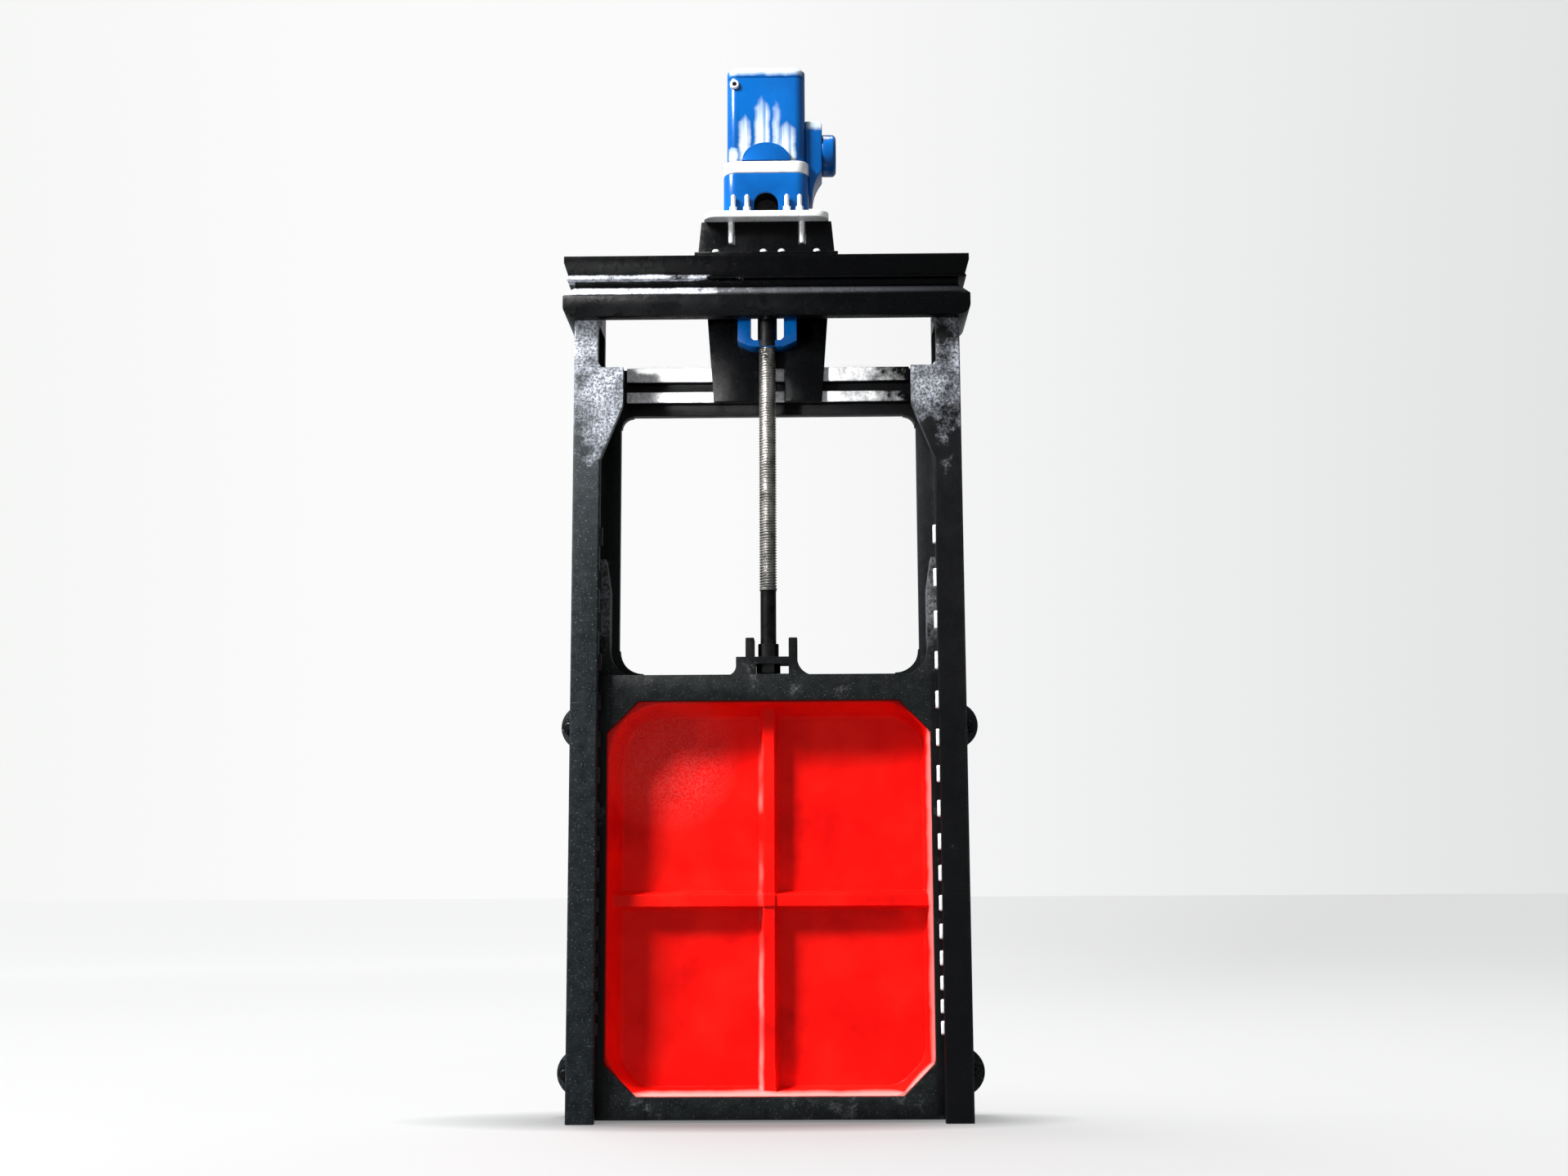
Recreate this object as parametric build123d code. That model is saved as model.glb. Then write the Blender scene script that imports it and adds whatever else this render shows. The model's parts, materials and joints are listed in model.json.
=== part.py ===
"""Cast sluice gate with a rising stem and an actuator on its crosshead.

Millimetres, +Z up. The origin is on the wall plane, on the centre line, at foot level.
The front faces -Y, and +X is to the right as seen from the front.
"""
from build123d import *
import os

# Depths, measured forward from the wall plane
flange_thickness = 30.0
seat_strip_thickness = 8.0
seat_clearance = 5.0
leaf_depth = 110.0
lip_clearance = 7.0
lip_thickness = 26.0
stem_offset = 110.0

# Guide rails
frame_half_width = 490.0
frame_height = 1989.0
web_thickness = 24.0
lip_width = 69.0
flange_width = 105.0
groove_radius = 12.0
lip_edge_radius = 5.0
post_width = 60.0
post_height = 123.0
yoke_corner_radius = 20.0
gusset_reach = 56.0
gusset_height = 237.0
gusset_taper = 140.0
gusset_radius = 40.0

# Anchor ears on the outer sides of the rails
anchor_heights = (106.0, 963.0)
anchor_ear_radius = 59.0
anchor_ear_inset = 19.0
anchor_hole_radius = 11.0
anchor_offset = 20.0

# Port and its seat
jamb_width = 35.0
sill_height = 50.0
port_cover = 8.0
seat_strip_width = 30.0
breast_cover = 13.0
window_corner_radius = 60.0
window_corner_land = 3.0

# Leaf
leaf_bottom = 6.0
leaf_top = 1083.0
groove_clearance = 8.0
stop_clearance = 14.0
guide_ear_height = 302.0
guide_ear_width = 57.0
guide_ear_depth = 60.0
guide_ear_lead_in = 12.0
guide_ear_lead_in_height = 80.0
guide_ear_root_radius = 72.0

# Panel set in the leaf
stile_width = 56.0
bottom_bar = 53.0
top_bar = 65.0
panel_chamfer = 78.0
panel_setback = 20.0
panel_thickness = 20.0
rim_edge = 8.0
rim_draft = 26.0
rib_height = 42.0
rib_crest_half = 15.0
rib_draft = 7.0
cross_rib_drop = 12.0
pocket_corner_radius = 14.0
pocket_floor_chamfer = 8.0

# Lugs on the leaf's top bar
lug_depth = 60.0
lug_base_left = 99.0
lug_base_right = 108.0
lug_shoulder = 81.0
lug_flare_bow = 0.3
lug_bridge_height = 46.0
lug_bridge_thickness = 18.0
lug_pocket_floor = 3.0
prong_height = 94.0
prong_width = 22.0
left_prong_offset = 46.0
right_prong_offset = 62.0
prong_edge_radius = 3.0

# Stem and the nuts on it
stem_radius = 22.0
stem_fit = 0.15
stem_running_fit = 0.4
stem_passage_clearance = 6.0
stem_overrun = 40.0
nut_radius = 30.0
collar_radius = 26.0
nut_height = 22.0
collar_height = 34.0

# Tie beam between the rails
yoke_height = 89.0
beam_height = 123.0
beam_corner_radius = 30.0
beam_rib_setback = 18.0
beam_rib_depth = 35.0
lower_rib_rise = 27.0
lower_rib_thickness = 28.0
upper_rib_rise = 82.0
upper_rib_thickness = 37.0
beam_rib_radius = 5.0

# Tie plates between the tie beam and the crosshead
tie_thickness = 18.0
tie_rise = 22.0
tie_bottom_reach = 140.0
tie_top_reach = 158.0
tie_left_inner = 14.0
tie_right_inner = 43.0
tie_notch_rise = 14.0
tie_gap_height = 91.0

# Stem guide, a stirrup under the crosshead
guide_half_width = 76.0
guide_leg = 33.0
guide_floor = 17.0
guide_drop = 58.0
guide_depth = 54.0
guide_corner_width = 34.0
guide_corner_height = 15.0
guide_inner_chamfer = 8.0
bush_radius = 25.0

# Crosshead
crosshead_overhang = 27.0
crosshead_face = 55.0
crosshead_slope = 30.0
crosshead_groove = 16.0
crosshead_bead = 8.0
crosshead_bead_chamfer = 3.0
crosshead_fascia = 34.0
crosshead_cap = 16.0
crosshead_groove_inset = 28.0
crosshead_bead_inset = 9.0
crosshead_lip_inset = 13.0
crosshead_cap_inset = 2.0
crosshead_end_radius = 28.0
crosshead_skirt = 34.0
crosshead_hollow = 58.0

# Pedestal under the actuator
pedestal_height = 102.0
pedestal_foot_thickness = 12.0
pedestal_half_width = 175.0
pedestal_half_depth = 80.0
pedestal_foot_side = 8.0
pedestal_foot_front = 22.0
pedestal_taper = 8.0
pedestal_slot_offset = 91.0
pedestal_slot_width = 18.0
pedestal_slot_depth = 62.0

# Drive nut inside the pedestal
drive_nut_radius = 36.0
drive_nut_length = 70.0
drive_nut_fit = 0.4

# Actuator
base_flange_thickness = 17.0
base_flange_half_width = 160.0
base_flange_half_depth = 108.0
base_flange_corner = 30.0
gear_half_width = 110.0
gear_half_depth = 88.0
gear_corner = 34.0
gear_housing_height = 108.0
arch_half_width = 31.0
arch_height = 55.0
arch_depth = 54.0
joint_ring_height = 33.0
upper_half_width = 101.0
upper_half_depth = 80.0
upper_corner = 28.0
upper_height = 230.0
upper_foot_chamfer = 8.0
boss_half_width = 63.0
boss_height = 50.0
boss_rise = 9.0
cap_height = 30.0
cap_chamfer = 10.0
side_reach = 145.0
side_half_depth = 54.0
side_drop = 47.0
side_height = 200.0
side_neck_reach = 10.0
side_neck_height = 68.0
side_neck_bow = 0.25
side_edge_radius = 12.0
side_cap_radius = 54.0
side_cap_rise = 125.0
side_cap_length = 36.0
side_cap_chamfer = 7.0
side_cap_recess_radius = 35.0
side_cap_recess = 5.0

# Depths and half widths worked out from the driving dimensions
flange_front = -flange_thickness
strip_front = flange_front - seat_strip_thickness
leaf_back = strip_front - seat_clearance
leaf_front = leaf_back - leaf_depth
lip_back = leaf_front - lip_clearance
rail_front = lip_back - lip_thickness
stem_y = -stem_offset
beam_front = flange_front - beam_rib_depth
panel_front = leaf_front + panel_setback
panel_floor = leaf_back - panel_thickness
rib_crest = panel_floor - rib_height
web_inner = frame_half_width - web_thickness
lip_inner = frame_half_width - lip_width
flange_inner = frame_half_width - flange_width
post_inner = frame_half_width - post_width
port_half_width = flange_inner - jamb_width
leaf_half_width = web_inner - groove_clearance
panel_half_width = leaf_half_width - stile_width
crosshead_half_width = frame_half_width + crosshead_overhang
passage_radius = stem_radius + stem_passage_clearance

# Heights worked out from the driving dimensions
panel_bottom = leaf_bottom + bottom_bar
panel_top = leaf_top - top_bar
cross_rib_height = (panel_bottom + panel_top) / 2 - cross_rib_drop
bridge_top = leaf_top + lug_bridge_height
bridge_bottom = bridge_top - lug_bridge_thickness
guide_ear_top = leaf_top + guide_ear_height
lift = frame_height - stop_clearance - guide_ear_top
port_top = leaf_bottom + lift - port_cover
breast_top = leaf_top + breast_cover
beam_top = frame_height - yoke_height
beam_bottom = beam_top - beam_height
gusset_top = frame_height - post_height
hollow_top = frame_height + crosshead_hollow
crosshead_top = (
    frame_height + crosshead_face + crosshead_slope
    + crosshead_groove + crosshead_bead + crosshead_fascia + crosshead_cap
)
pedestal_top = crosshead_top + pedestal_height
stem_top = pedestal_top + stem_overrun
base_flange_top = pedestal_top + base_flange_thickness
gear_housing_top = base_flange_top + gear_housing_height
joint_ring_top = gear_housing_top + joint_ring_height
upper_top = joint_ring_top + upper_height
actuator_top = upper_top + cap_height
side_bottom = gear_housing_top - side_drop
side_neck_top = side_bottom + side_neck_height
side_top = side_bottom + side_height
side_cap_height = side_bottom + side_cap_rise

# How far a cutting solid runs past the face that it opens
past = 1.0


def block(x, y, z):
    """Box between two values on each axis."""
    centre = Pos((x[0] + x[1]) / 2, (y[0] + y[1]) / 2, (z[0] + z[1]) / 2)
    return centre * Box(x[1] - x[0], y[1] - y[0], z[1] - z[0])


def front_plane(y):
    """Plane parallel to the wall whose sketch axes are X and Z."""
    return Plane(origin=(0, y, 0), x_dir=(1, 0, 0), z_dir=(0, -1, 0))


def upright_plate(sketch, front, back):
    """Plate between two depths with an outline drawn in X and Z."""
    return extrude(front_plane(back) * sketch, amount=back - front)


def outline(*points):
    return make_face(Polyline(*points, close=True))


def rectangle(x, z):
    centre = Pos((x[0] + x[1]) / 2, (z[0] + z[1]) / 2)
    return centre * Rectangle(x[1] - x[0], z[1] - z[0])


def upright_cylinder(radius, z, x=0.0, y=None):
    middle = stem_y if y is None else y
    return Pos(x, middle, (z[0] + z[1]) / 2) * Cylinder(radius, z[1] - z[0])


def level_rectangle(half_width, half_depth, z):
    """Rectangle centred on the stem axis at one height."""
    return Pos(0, stem_y, z) * Rectangle(2 * half_width, 2 * half_depth)


def turned(*points):
    """Solid of revolution about an upright axis, from pairs of radius and height."""
    return revolve(Plane.XZ * outline(*points), Axis.Z)


def round_cornered_body(half_width, half_depth, corner, z):
    """Upright body on the stem axis whose plan is a rectangle with round corners."""
    plan = Pos(0, stem_y, z[0]) * RectangleRounded(2 * half_width, 2 * half_depth, corner)
    return extrude(plan, z[1] - z[0])


def with_passage(body, z):
    return body - upright_cylinder(passage_radius, (z[0] - past, z[1] + past))


def corner_near(sketch, x, z):
    """Vertex of a sketch that is nearest to a point."""
    return sketch.vertices().sort_by_distance((x, z, 0))[0]


def other_side(shape):
    return mirror(shape, about=Plane.YZ)


def make_right_rail():
    section = outline(
        (lip_inner, rail_front),
        (frame_half_width, rail_front),
        (frame_half_width, 0),
        (flange_inner, 0),
        (flange_inner, flange_front),
        (web_inner, flange_front),
        (web_inner, lip_back),
        (lip_inner, lip_back),
    )
    groove_corners = [
        corner_near(section, web_inner, flange_front),
        corner_near(section, web_inner, lip_back),
    ]
    section = fillet(groove_corners, groove_radius)
    lip_corners = [
        corner_near(section, lip_inner, rail_front),
        corner_near(section, frame_half_width, rail_front),
    ]
    section = fillet(lip_corners, lip_edge_radius)
    rail = extrude(section, amount=frame_height, dir=(0, 0, 1))

    gusset_inner = lip_inner - gusset_reach
    gusset_bottom = gusset_top - gusset_height
    gusset = outline(
        (lip_inner + lip_edge_radius, gusset_bottom),
        (lip_inner, gusset_bottom),
        (gusset_inner, gusset_bottom + gusset_taper),
        (gusset_inner, gusset_top),
        (lip_inner + lip_edge_radius, gusset_top),
    )
    gusset = fillet(corner_near(gusset, gusset_inner, gusset_bottom + gusset_taper), gusset_radius)
    rail += upright_plate(gusset, rail_front, lip_back)

    # The lip and the flange narrow to the posts beside the yoke windows
    for bottom, front, back, rounded_heights in (
        (gusset_top, rail_front, lip_back, (gusset_top, frame_height)),
        (beam_top, flange_front, 0, (beam_top,)),
    ):
        window = rectangle((lip_inner - 2 * gusset_reach, post_inner), (bottom, frame_height))
        corners = [corner_near(window, post_inner, height) for height in rounded_heights]
        window = fillet(corners, yoke_corner_radius)
        rail -= upright_plate(window, front - past, back + past)

    for height in anchor_heights:
        ear = Pos(frame_half_width - anchor_ear_inset, height) * Circle(anchor_ear_radius)
        outer_half = rectangle(
            (web_inner + web_thickness / 2, frame_half_width + anchor_ear_radius),
            (height - anchor_ear_radius, height + anchor_ear_radius),
        )
        rail += upright_plate(ear & outer_half, flange_front, 0)
        hole = Pos(frame_half_width + anchor_offset, height) * Circle(anchor_hole_radius)
        rail -= upright_plate(hole, flange_front - past, past)
    return rail


def corner_fill(x, z, x_sign, z_sign, radius):
    """Concave corner of a window, with a narrow land at each end of the arc."""
    size = radius + window_corner_land
    square = rectangle(
        sorted((x, x - x_sign * size)),
        sorted((z, z + z_sign * size)),
    )
    arc = Pos(x - x_sign * size, z + z_sign * size) * Circle(radius)
    return square - arc


def make_breast_plate():
    face = rectangle((-flange_inner, flange_inner), (port_top, breast_top))
    for side in (-1, 1):
        face += corner_fill(side * flange_inner, breast_top, side, 1, window_corner_radius)
    return upright_plate(face, flange_front, 0)


def make_tie_beam():
    face = rectangle((-flange_inner, flange_inner), (beam_bottom, beam_top))
    for side in (-1, 1):
        face += corner_fill(side * flange_inner, beam_bottom, side, -1, beam_corner_radius)
    beam = upright_plate(face, flange_front, 0)
    rib_half_length = flange_inner - beam_rib_setback
    for bottom, thickness in (
        (beam_bottom + lower_rib_rise, lower_rib_thickness),
        (beam_bottom + upper_rib_rise, upper_rib_thickness),
    ):
        rib = block(
            (-rib_half_length, rib_half_length),
            (beam_front, flange_front),
            (bottom, bottom + thickness),
        )
        front_edges = rib.faces().sort_by(Axis.Y)[0].edges().filter_by(Axis.X)
        beam += fillet(front_edges, beam_rib_radius)
    return beam


def make_tie_plates():
    """Two plates from the tie beam up to the crosshead, which meet behind the stem above a gap.

    They are open behind the stem guide, and the right one's tongue closes the gap from above.
    """
    tie_bottom = beam_bottom + tie_rise
    gap_top = tie_bottom + tie_gap_height
    notch_half = guide_half_width - guide_leg
    notch_bottom = frame_height - guide_drop + guide_floor + tie_notch_rise
    left = outline(
        (-tie_left_inner, tie_bottom),
        (-tie_bottom_reach, tie_bottom),
        (-tie_top_reach, hollow_top),
        (-notch_half, hollow_top),
        (-notch_half, notch_bottom),
        (-tie_left_inner, notch_bottom),
    )
    right = outline(
        (tie_right_inner, tie_bottom),
        (tie_bottom_reach, tie_bottom),
        (tie_top_reach, hollow_top),
        (notch_half, hollow_top),
        (notch_half, notch_bottom),
        (-tie_left_inner, notch_bottom),
        (-tie_left_inner, gap_top),
        (tie_right_inner, gap_top),
    )
    return [upright_plate(face, beam_front - tie_thickness, beam_front) for face in (left, right)]


def make_stem_guide():
    bottom = frame_height - guide_drop
    floor = bottom + guide_floor
    bottom_half = guide_half_width - guide_corner_width
    outer = outline(
        (-guide_half_width, hollow_top),
        (-guide_half_width, bottom + guide_corner_height),
        (-bottom_half, bottom),
        (bottom_half, bottom),
        (guide_half_width, bottom + guide_corner_height),
        (guide_half_width, hollow_top),
    )
    inner_half = guide_half_width - guide_leg
    inner = rectangle((-inner_half, inner_half), (floor, hollow_top))
    inner_corners = [corner_near(inner, side * inner_half, floor) for side in (-1, 1)]
    inner = chamfer(inner_corners, guide_inner_chamfer)
    strap = upright_plate(outer - inner, stem_y - guide_depth / 2, stem_y + guide_depth / 2)
    bore = upright_cylinder(stem_radius + stem_running_fit, (bottom - past, hollow_top + past))
    return strap - bore


def make_guide_bush():
    """Bush round the stem, between the stem guide's floor and the crosshead."""
    bottom = frame_height - guide_drop + guide_floor
    bush = upright_cylinder(bush_radius, (bottom, hollow_top))
    return bush - upright_cylinder(stem_radius + stem_running_fit, (bottom - past, hollow_top + past))


def make_crosshead():
    """Moulded beam on the posts, hollow underneath behind a front skirt."""
    half_depth = stem_offset
    face_top = frame_height + crosshead_face
    slope_top = face_top + crosshead_slope
    groove_top = slope_top + crosshead_groove
    bead_top = groove_top + crosshead_bead
    fascia_top = bead_top + crosshead_fascia

    lower = extrude(level_rectangle(crosshead_half_width, half_depth, frame_height), crosshead_face)
    end_edges = lower.faces().sort_by(Axis.Z)[0].edges().filter_by(Axis.Y)
    lower = fillet(end_edges, crosshead_end_radius)

    groove_half_width = crosshead_half_width - crosshead_groove_inset
    groove_half_depth = half_depth - crosshead_groove_inset
    slope = loft([
        level_rectangle(crosshead_half_width, half_depth, face_top),
        level_rectangle(groove_half_width, groove_half_depth, slope_top),
    ])
    groove = extrude(level_rectangle(groove_half_width, groove_half_depth, slope_top), crosshead_groove)
    lip_half_width = crosshead_half_width - crosshead_lip_inset
    lip_half_depth = half_depth - crosshead_lip_inset
    cap_half_width = crosshead_half_width - crosshead_cap_inset
    bead_half_width = crosshead_half_width - crosshead_bead_inset
    bead_half_depth = half_depth - crosshead_bead_inset
    bead = extrude(level_rectangle(bead_half_width, bead_half_depth, groove_top), crosshead_bead)
    bead = chamfer(bead.faces().sort_by(Axis.Z)[-1].edges(), crosshead_bead_chamfer)
    fascia = loft([
        level_rectangle(lip_half_width, lip_half_depth, bead_top),
        level_rectangle(cap_half_width, half_depth, fascia_top),
    ])
    cap = extrude(level_rectangle(cap_half_width, half_depth, fascia_top), crosshead_cap)
    crosshead = lower + slope + groove + bead + fascia + cap
    crosshead -= block(
        (-post_inner, post_inner),
        (stem_y - half_depth + crosshead_skirt, past),
        (frame_height - past, hollow_top),
    )
    return crosshead - upright_cylinder(passage_radius, (frame_height - past, crosshead_top + past))


def make_pedestal():
    foot_top = crosshead_top + pedestal_foot_thickness
    foot = extrude(
        level_rectangle(
            pedestal_half_width + pedestal_foot_side,
            pedestal_half_depth + pedestal_foot_front,
            crosshead_top,
        ),
        pedestal_foot_thickness,
    )
    body = loft([
        level_rectangle(pedestal_half_width, pedestal_half_depth, foot_top),
        level_rectangle(
            pedestal_half_width - pedestal_taper,
            pedestal_half_depth - pedestal_taper,
            pedestal_top,
        ),
    ])
    pedestal = foot + body
    for side in (-1, 1):
        middle = side * pedestal_slot_offset
        pedestal -= block(
            (middle - pedestal_slot_width / 2, middle + pedestal_slot_width / 2),
            (stem_y - 2 * pedestal_half_depth, stem_y + 2 * pedestal_half_depth),
            (pedestal_top - pedestal_slot_depth, pedestal_top + past),
        )
    bore = upright_cylinder(drive_nut_radius + drive_nut_fit, (crosshead_top - past, pedestal_top + past))
    return pedestal - bore


def make_drive_nut():
    bottom = pedestal_top - drive_nut_length
    nut = upright_cylinder(drive_nut_radius, (bottom, pedestal_top))
    return nut - upright_cylinder(stem_radius + stem_running_fit, (bottom - past, pedestal_top + past))


def make_base_flange():
    heights = (pedestal_top, base_flange_top)
    flange = round_cornered_body(
        base_flange_half_width, base_flange_half_depth, base_flange_corner, heights
    )
    return with_passage(flange, heights)


def make_gear_housing():
    heights = (base_flange_top, gear_housing_top)
    housing = round_cornered_body(gear_half_width, gear_half_depth, gear_corner, heights)
    spring = base_flange_top + arch_height - arch_half_width
    arch = rectangle((-arch_half_width, arch_half_width), (base_flange_top - past, spring))
    arch += Pos(0, spring) * Circle(arch_half_width)
    front = stem_y - gear_half_depth
    housing -= upright_plate(arch, front - past, front + arch_depth)
    return with_passage(housing, heights)


def make_joint_ring():
    heights = (gear_housing_top, joint_ring_top)
    ring = round_cornered_body(gear_half_width, gear_half_depth, gear_corner, heights)
    return with_passage(ring, heights)


def make_upper_housing():
    """Housing with a half-round boss low on its front."""
    heights = (joint_ring_top, upper_top)
    housing = round_cornered_body(upper_half_width, upper_half_depth, upper_corner, heights)
    housing = chamfer(housing.faces().sort_by(Axis.Z)[0].edges(), upper_foot_chamfer)
    boss = Pos(0, joint_ring_top) * Ellipse(boss_half_width, boss_height)
    boss &= rectangle((-boss_half_width, boss_half_width), (joint_ring_top, joint_ring_top + boss_height))
    front = stem_y - upper_half_depth
    housing += upright_plate(boss, front - boss_rise, front + upper_foot_chamfer)
    return with_passage(housing, heights)


def make_top_cap():
    heights = (upper_top, actuator_top)
    cap = round_cornered_body(upper_half_width, upper_half_depth, upper_corner, heights)
    cap = chamfer(cap.faces().sort_by(Axis.Z)[-1].edges(), cap_chamfer)
    return with_passage(cap, heights)


def make_side_housing():
    """Box on the right of the actuator, with a hollow neck under it."""
    neck = gear_half_width + side_neck_reach
    neck_middle = (neck + (side_reach - neck) * side_neck_bow, (side_bottom + side_neck_top) / 2)
    profile = make_face([
        Line((gear_half_width, side_bottom), (neck, side_bottom)),
        ThreePointArc((neck, side_bottom), neck_middle, (side_reach, side_neck_top)),
        Line((side_reach, side_neck_top), (side_reach, side_top)),
        Line((side_reach, side_top), (upper_half_width, side_top)),
        Line((upper_half_width, side_top), (upper_half_width, joint_ring_top)),
        Line((upper_half_width, joint_ring_top), (gear_half_width, joint_ring_top)),
        Line((gear_half_width, joint_ring_top), (gear_half_width, side_bottom)),
    ])
    profile = fillet(corner_near(profile, side_reach, side_top), side_edge_radius)
    return upright_plate(profile, stem_y - side_half_depth, stem_y + side_half_depth)


def make_side_cap():
    """Turned cap on the side housing, with a round recess in its outer face."""
    floor = side_cap_length - side_cap_recess
    cap = turned(
        (0, 0),
        (side_cap_radius, 0),
        (side_cap_radius, side_cap_length - side_cap_chamfer),
        (side_cap_radius - side_cap_chamfer, side_cap_length),
        (side_cap_recess_radius, side_cap_length),
        (side_cap_recess_radius, floor),
        (0, floor),
    )
    return Pos(side_reach, stem_y, side_cap_height) * Rot(0, 90, 0) * cap


def panel_outline(inset):
    """Outline of the panel with cut corners, moved inwards by an inset."""
    half = panel_half_width - inset
    bottom = panel_bottom + inset
    top = panel_top - inset
    cut = panel_chamfer - inset * (2 - 2 ** 0.5)
    return outline(
        (-half + cut, bottom),
        (half - cut, bottom),
        (half, bottom + cut),
        (half, top - cut),
        (half - cut, top),
        (-half + cut, top),
        (-half, top - cut),
        (-half, bottom + cut),
    )


def pocket_outline(x_sign, z_sign, inset, rib_half):
    """One of the four pockets between the ribs, cut across at its outer corner."""
    outer_x = panel_half_width - inset
    outer_z = panel_top - inset if z_sign > 0 else panel_bottom + inset
    inner_z = cross_rib_height + z_sign * rib_half
    cut = panel_chamfer - inset * (2 - 2 ** 0.5)
    face = outline(
        (x_sign * rib_half, inner_z),
        (x_sign * outer_x, inner_z),
        (x_sign * outer_x, outer_z - z_sign * cut),
        (x_sign * (outer_x - cut), outer_z),
        (x_sign * rib_half, outer_z),
    )
    square_corners = [
        corner_near(face, x_sign * rib_half, inner_z),
        corner_near(face, x_sign * outer_x, inner_z),
        corner_near(face, x_sign * rib_half, outer_z),
    ]
    return fillet(square_corners, pocket_corner_radius)


def make_leaf_panel():
    panel = upright_plate(panel_outline(0), panel_front, leaf_back)
    depth = panel_floor - panel_front
    crest_inset = rim_edge + rim_draft * (rib_crest - panel_front) / depth
    floor_inset = rim_edge + rim_draft
    panel -= loft([
        front_plane(panel_front) * panel_outline(rim_edge),
        front_plane(rib_crest) * panel_outline(crest_inset),
    ])
    rib_root_half = rib_crest_half + rib_draft
    for x_sign in (-1, 1):
        for z_sign in (-1, 1):
            pocket = loft([
                front_plane(rib_crest) * pocket_outline(x_sign, z_sign, crest_inset, rib_crest_half),
                front_plane(panel_floor) * pocket_outline(x_sign, z_sign, floor_inset, rib_root_half),
            ])
            floor_edges = pocket.faces().sort_by(Axis.Y)[-1].edges()
            panel -= chamfer(floor_edges, pocket_floor_chamfer)
    return panel


def make_lugs():
    """Block on the top bar with a pocket for the stem nut and a prong each side."""
    left_prong = (-left_prong_offset - prong_width / 2, -left_prong_offset + prong_width / 2)
    right_prong = (right_prong_offset - prong_width / 2, right_prong_offset + prong_width / 2)
    prong_top = leaf_top + prong_height
    right_side = right_prong[1]
    right_flare_height = leaf_top + (bridge_top - leaf_top) * lug_flare_bow
    left_flare_height = leaf_top + (bridge_bottom - leaf_top) * lug_flare_bow
    right_flare = right_side + (lug_base_right - right_side) * lug_flare_bow
    left_flare = -lug_shoulder - (lug_base_left - lug_shoulder) * lug_flare_bow
    face = make_face([
        Line((-lug_base_left, leaf_top), (lug_base_right, leaf_top)),
        ThreePointArc(
            (lug_base_right, leaf_top), (right_flare, right_flare_height), (right_side, bridge_top)
        ),
        Line((right_side, bridge_top), (-lug_shoulder, bridge_top)),
        Line((-lug_shoulder, bridge_top), (-lug_shoulder, bridge_bottom)),
        ThreePointArc(
            (-lug_shoulder, bridge_bottom), (left_flare, left_flare_height), (-lug_base_left, leaf_top)
        ),
    ])
    for prong in (left_prong, right_prong):
        post = rectangle(prong, (bridge_bottom, prong_top))
        tips = [corner_near(post, x, prong_top) for x in prong]
        face += fillet(tips, prong_edge_radius)
    pocket_x = (-nut_radius - past, right_prong[0])
    face -= rectangle(pocket_x, (leaf_top + lug_pocket_floor, bridge_bottom))
    lugs = upright_plate(face, stem_y - lug_depth / 2, stem_y + lug_depth / 2)
    return lugs - upright_cylinder(stem_radius + stem_fit, (bridge_bottom - past, prong_top))


def make_leaf_frame():
    face = rectangle((-leaf_half_width, leaf_half_width), (leaf_bottom, leaf_top))
    frame = upright_plate(face - panel_outline(0), leaf_front, leaf_back)
    inner = leaf_half_width - guide_ear_width
    root_inner = inner - guide_ear_root_radius
    root_top = leaf_top + guide_ear_root_radius
    for side in (-1, 1):
        ear = outline(
            (side * leaf_half_width, leaf_top),
            (side * leaf_half_width, guide_ear_top),
            (side * (inner + guide_ear_lead_in), guide_ear_top),
            (side * inner, guide_ear_top - guide_ear_lead_in_height),
            (side * inner, leaf_top),
        )
        root = rectangle(sorted((side * inner, side * root_inner)), (leaf_top, root_top))
        root -= Pos(side * root_inner, root_top) * Circle(guide_ear_root_radius)
        frame += upright_plate(ear + root, leaf_back - guide_ear_depth, leaf_back)
    return frame + make_lugs()


def make_stem():
    bottom = leaf_top + lug_pocket_floor
    return upright_cylinder(stem_radius, (bottom, stem_top))


def make_stem_nut():
    """Six-sided nut under the lugs' bridge."""
    bottom = bridge_bottom - nut_height
    nut = extrude(Pos(0, stem_y, bottom) * RegularPolygon(nut_radius, 6), nut_height)
    return nut - upright_cylinder(stem_radius + stem_fit, (bottom - past, bridge_bottom + past))


def make_stem_collar():
    top = bridge_top + collar_height
    collar = upright_cylinder(collar_radius, (bridge_top, top))
    return collar - upright_cylinder(stem_radius + stem_fit, (bridge_top - past, top + past))


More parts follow.
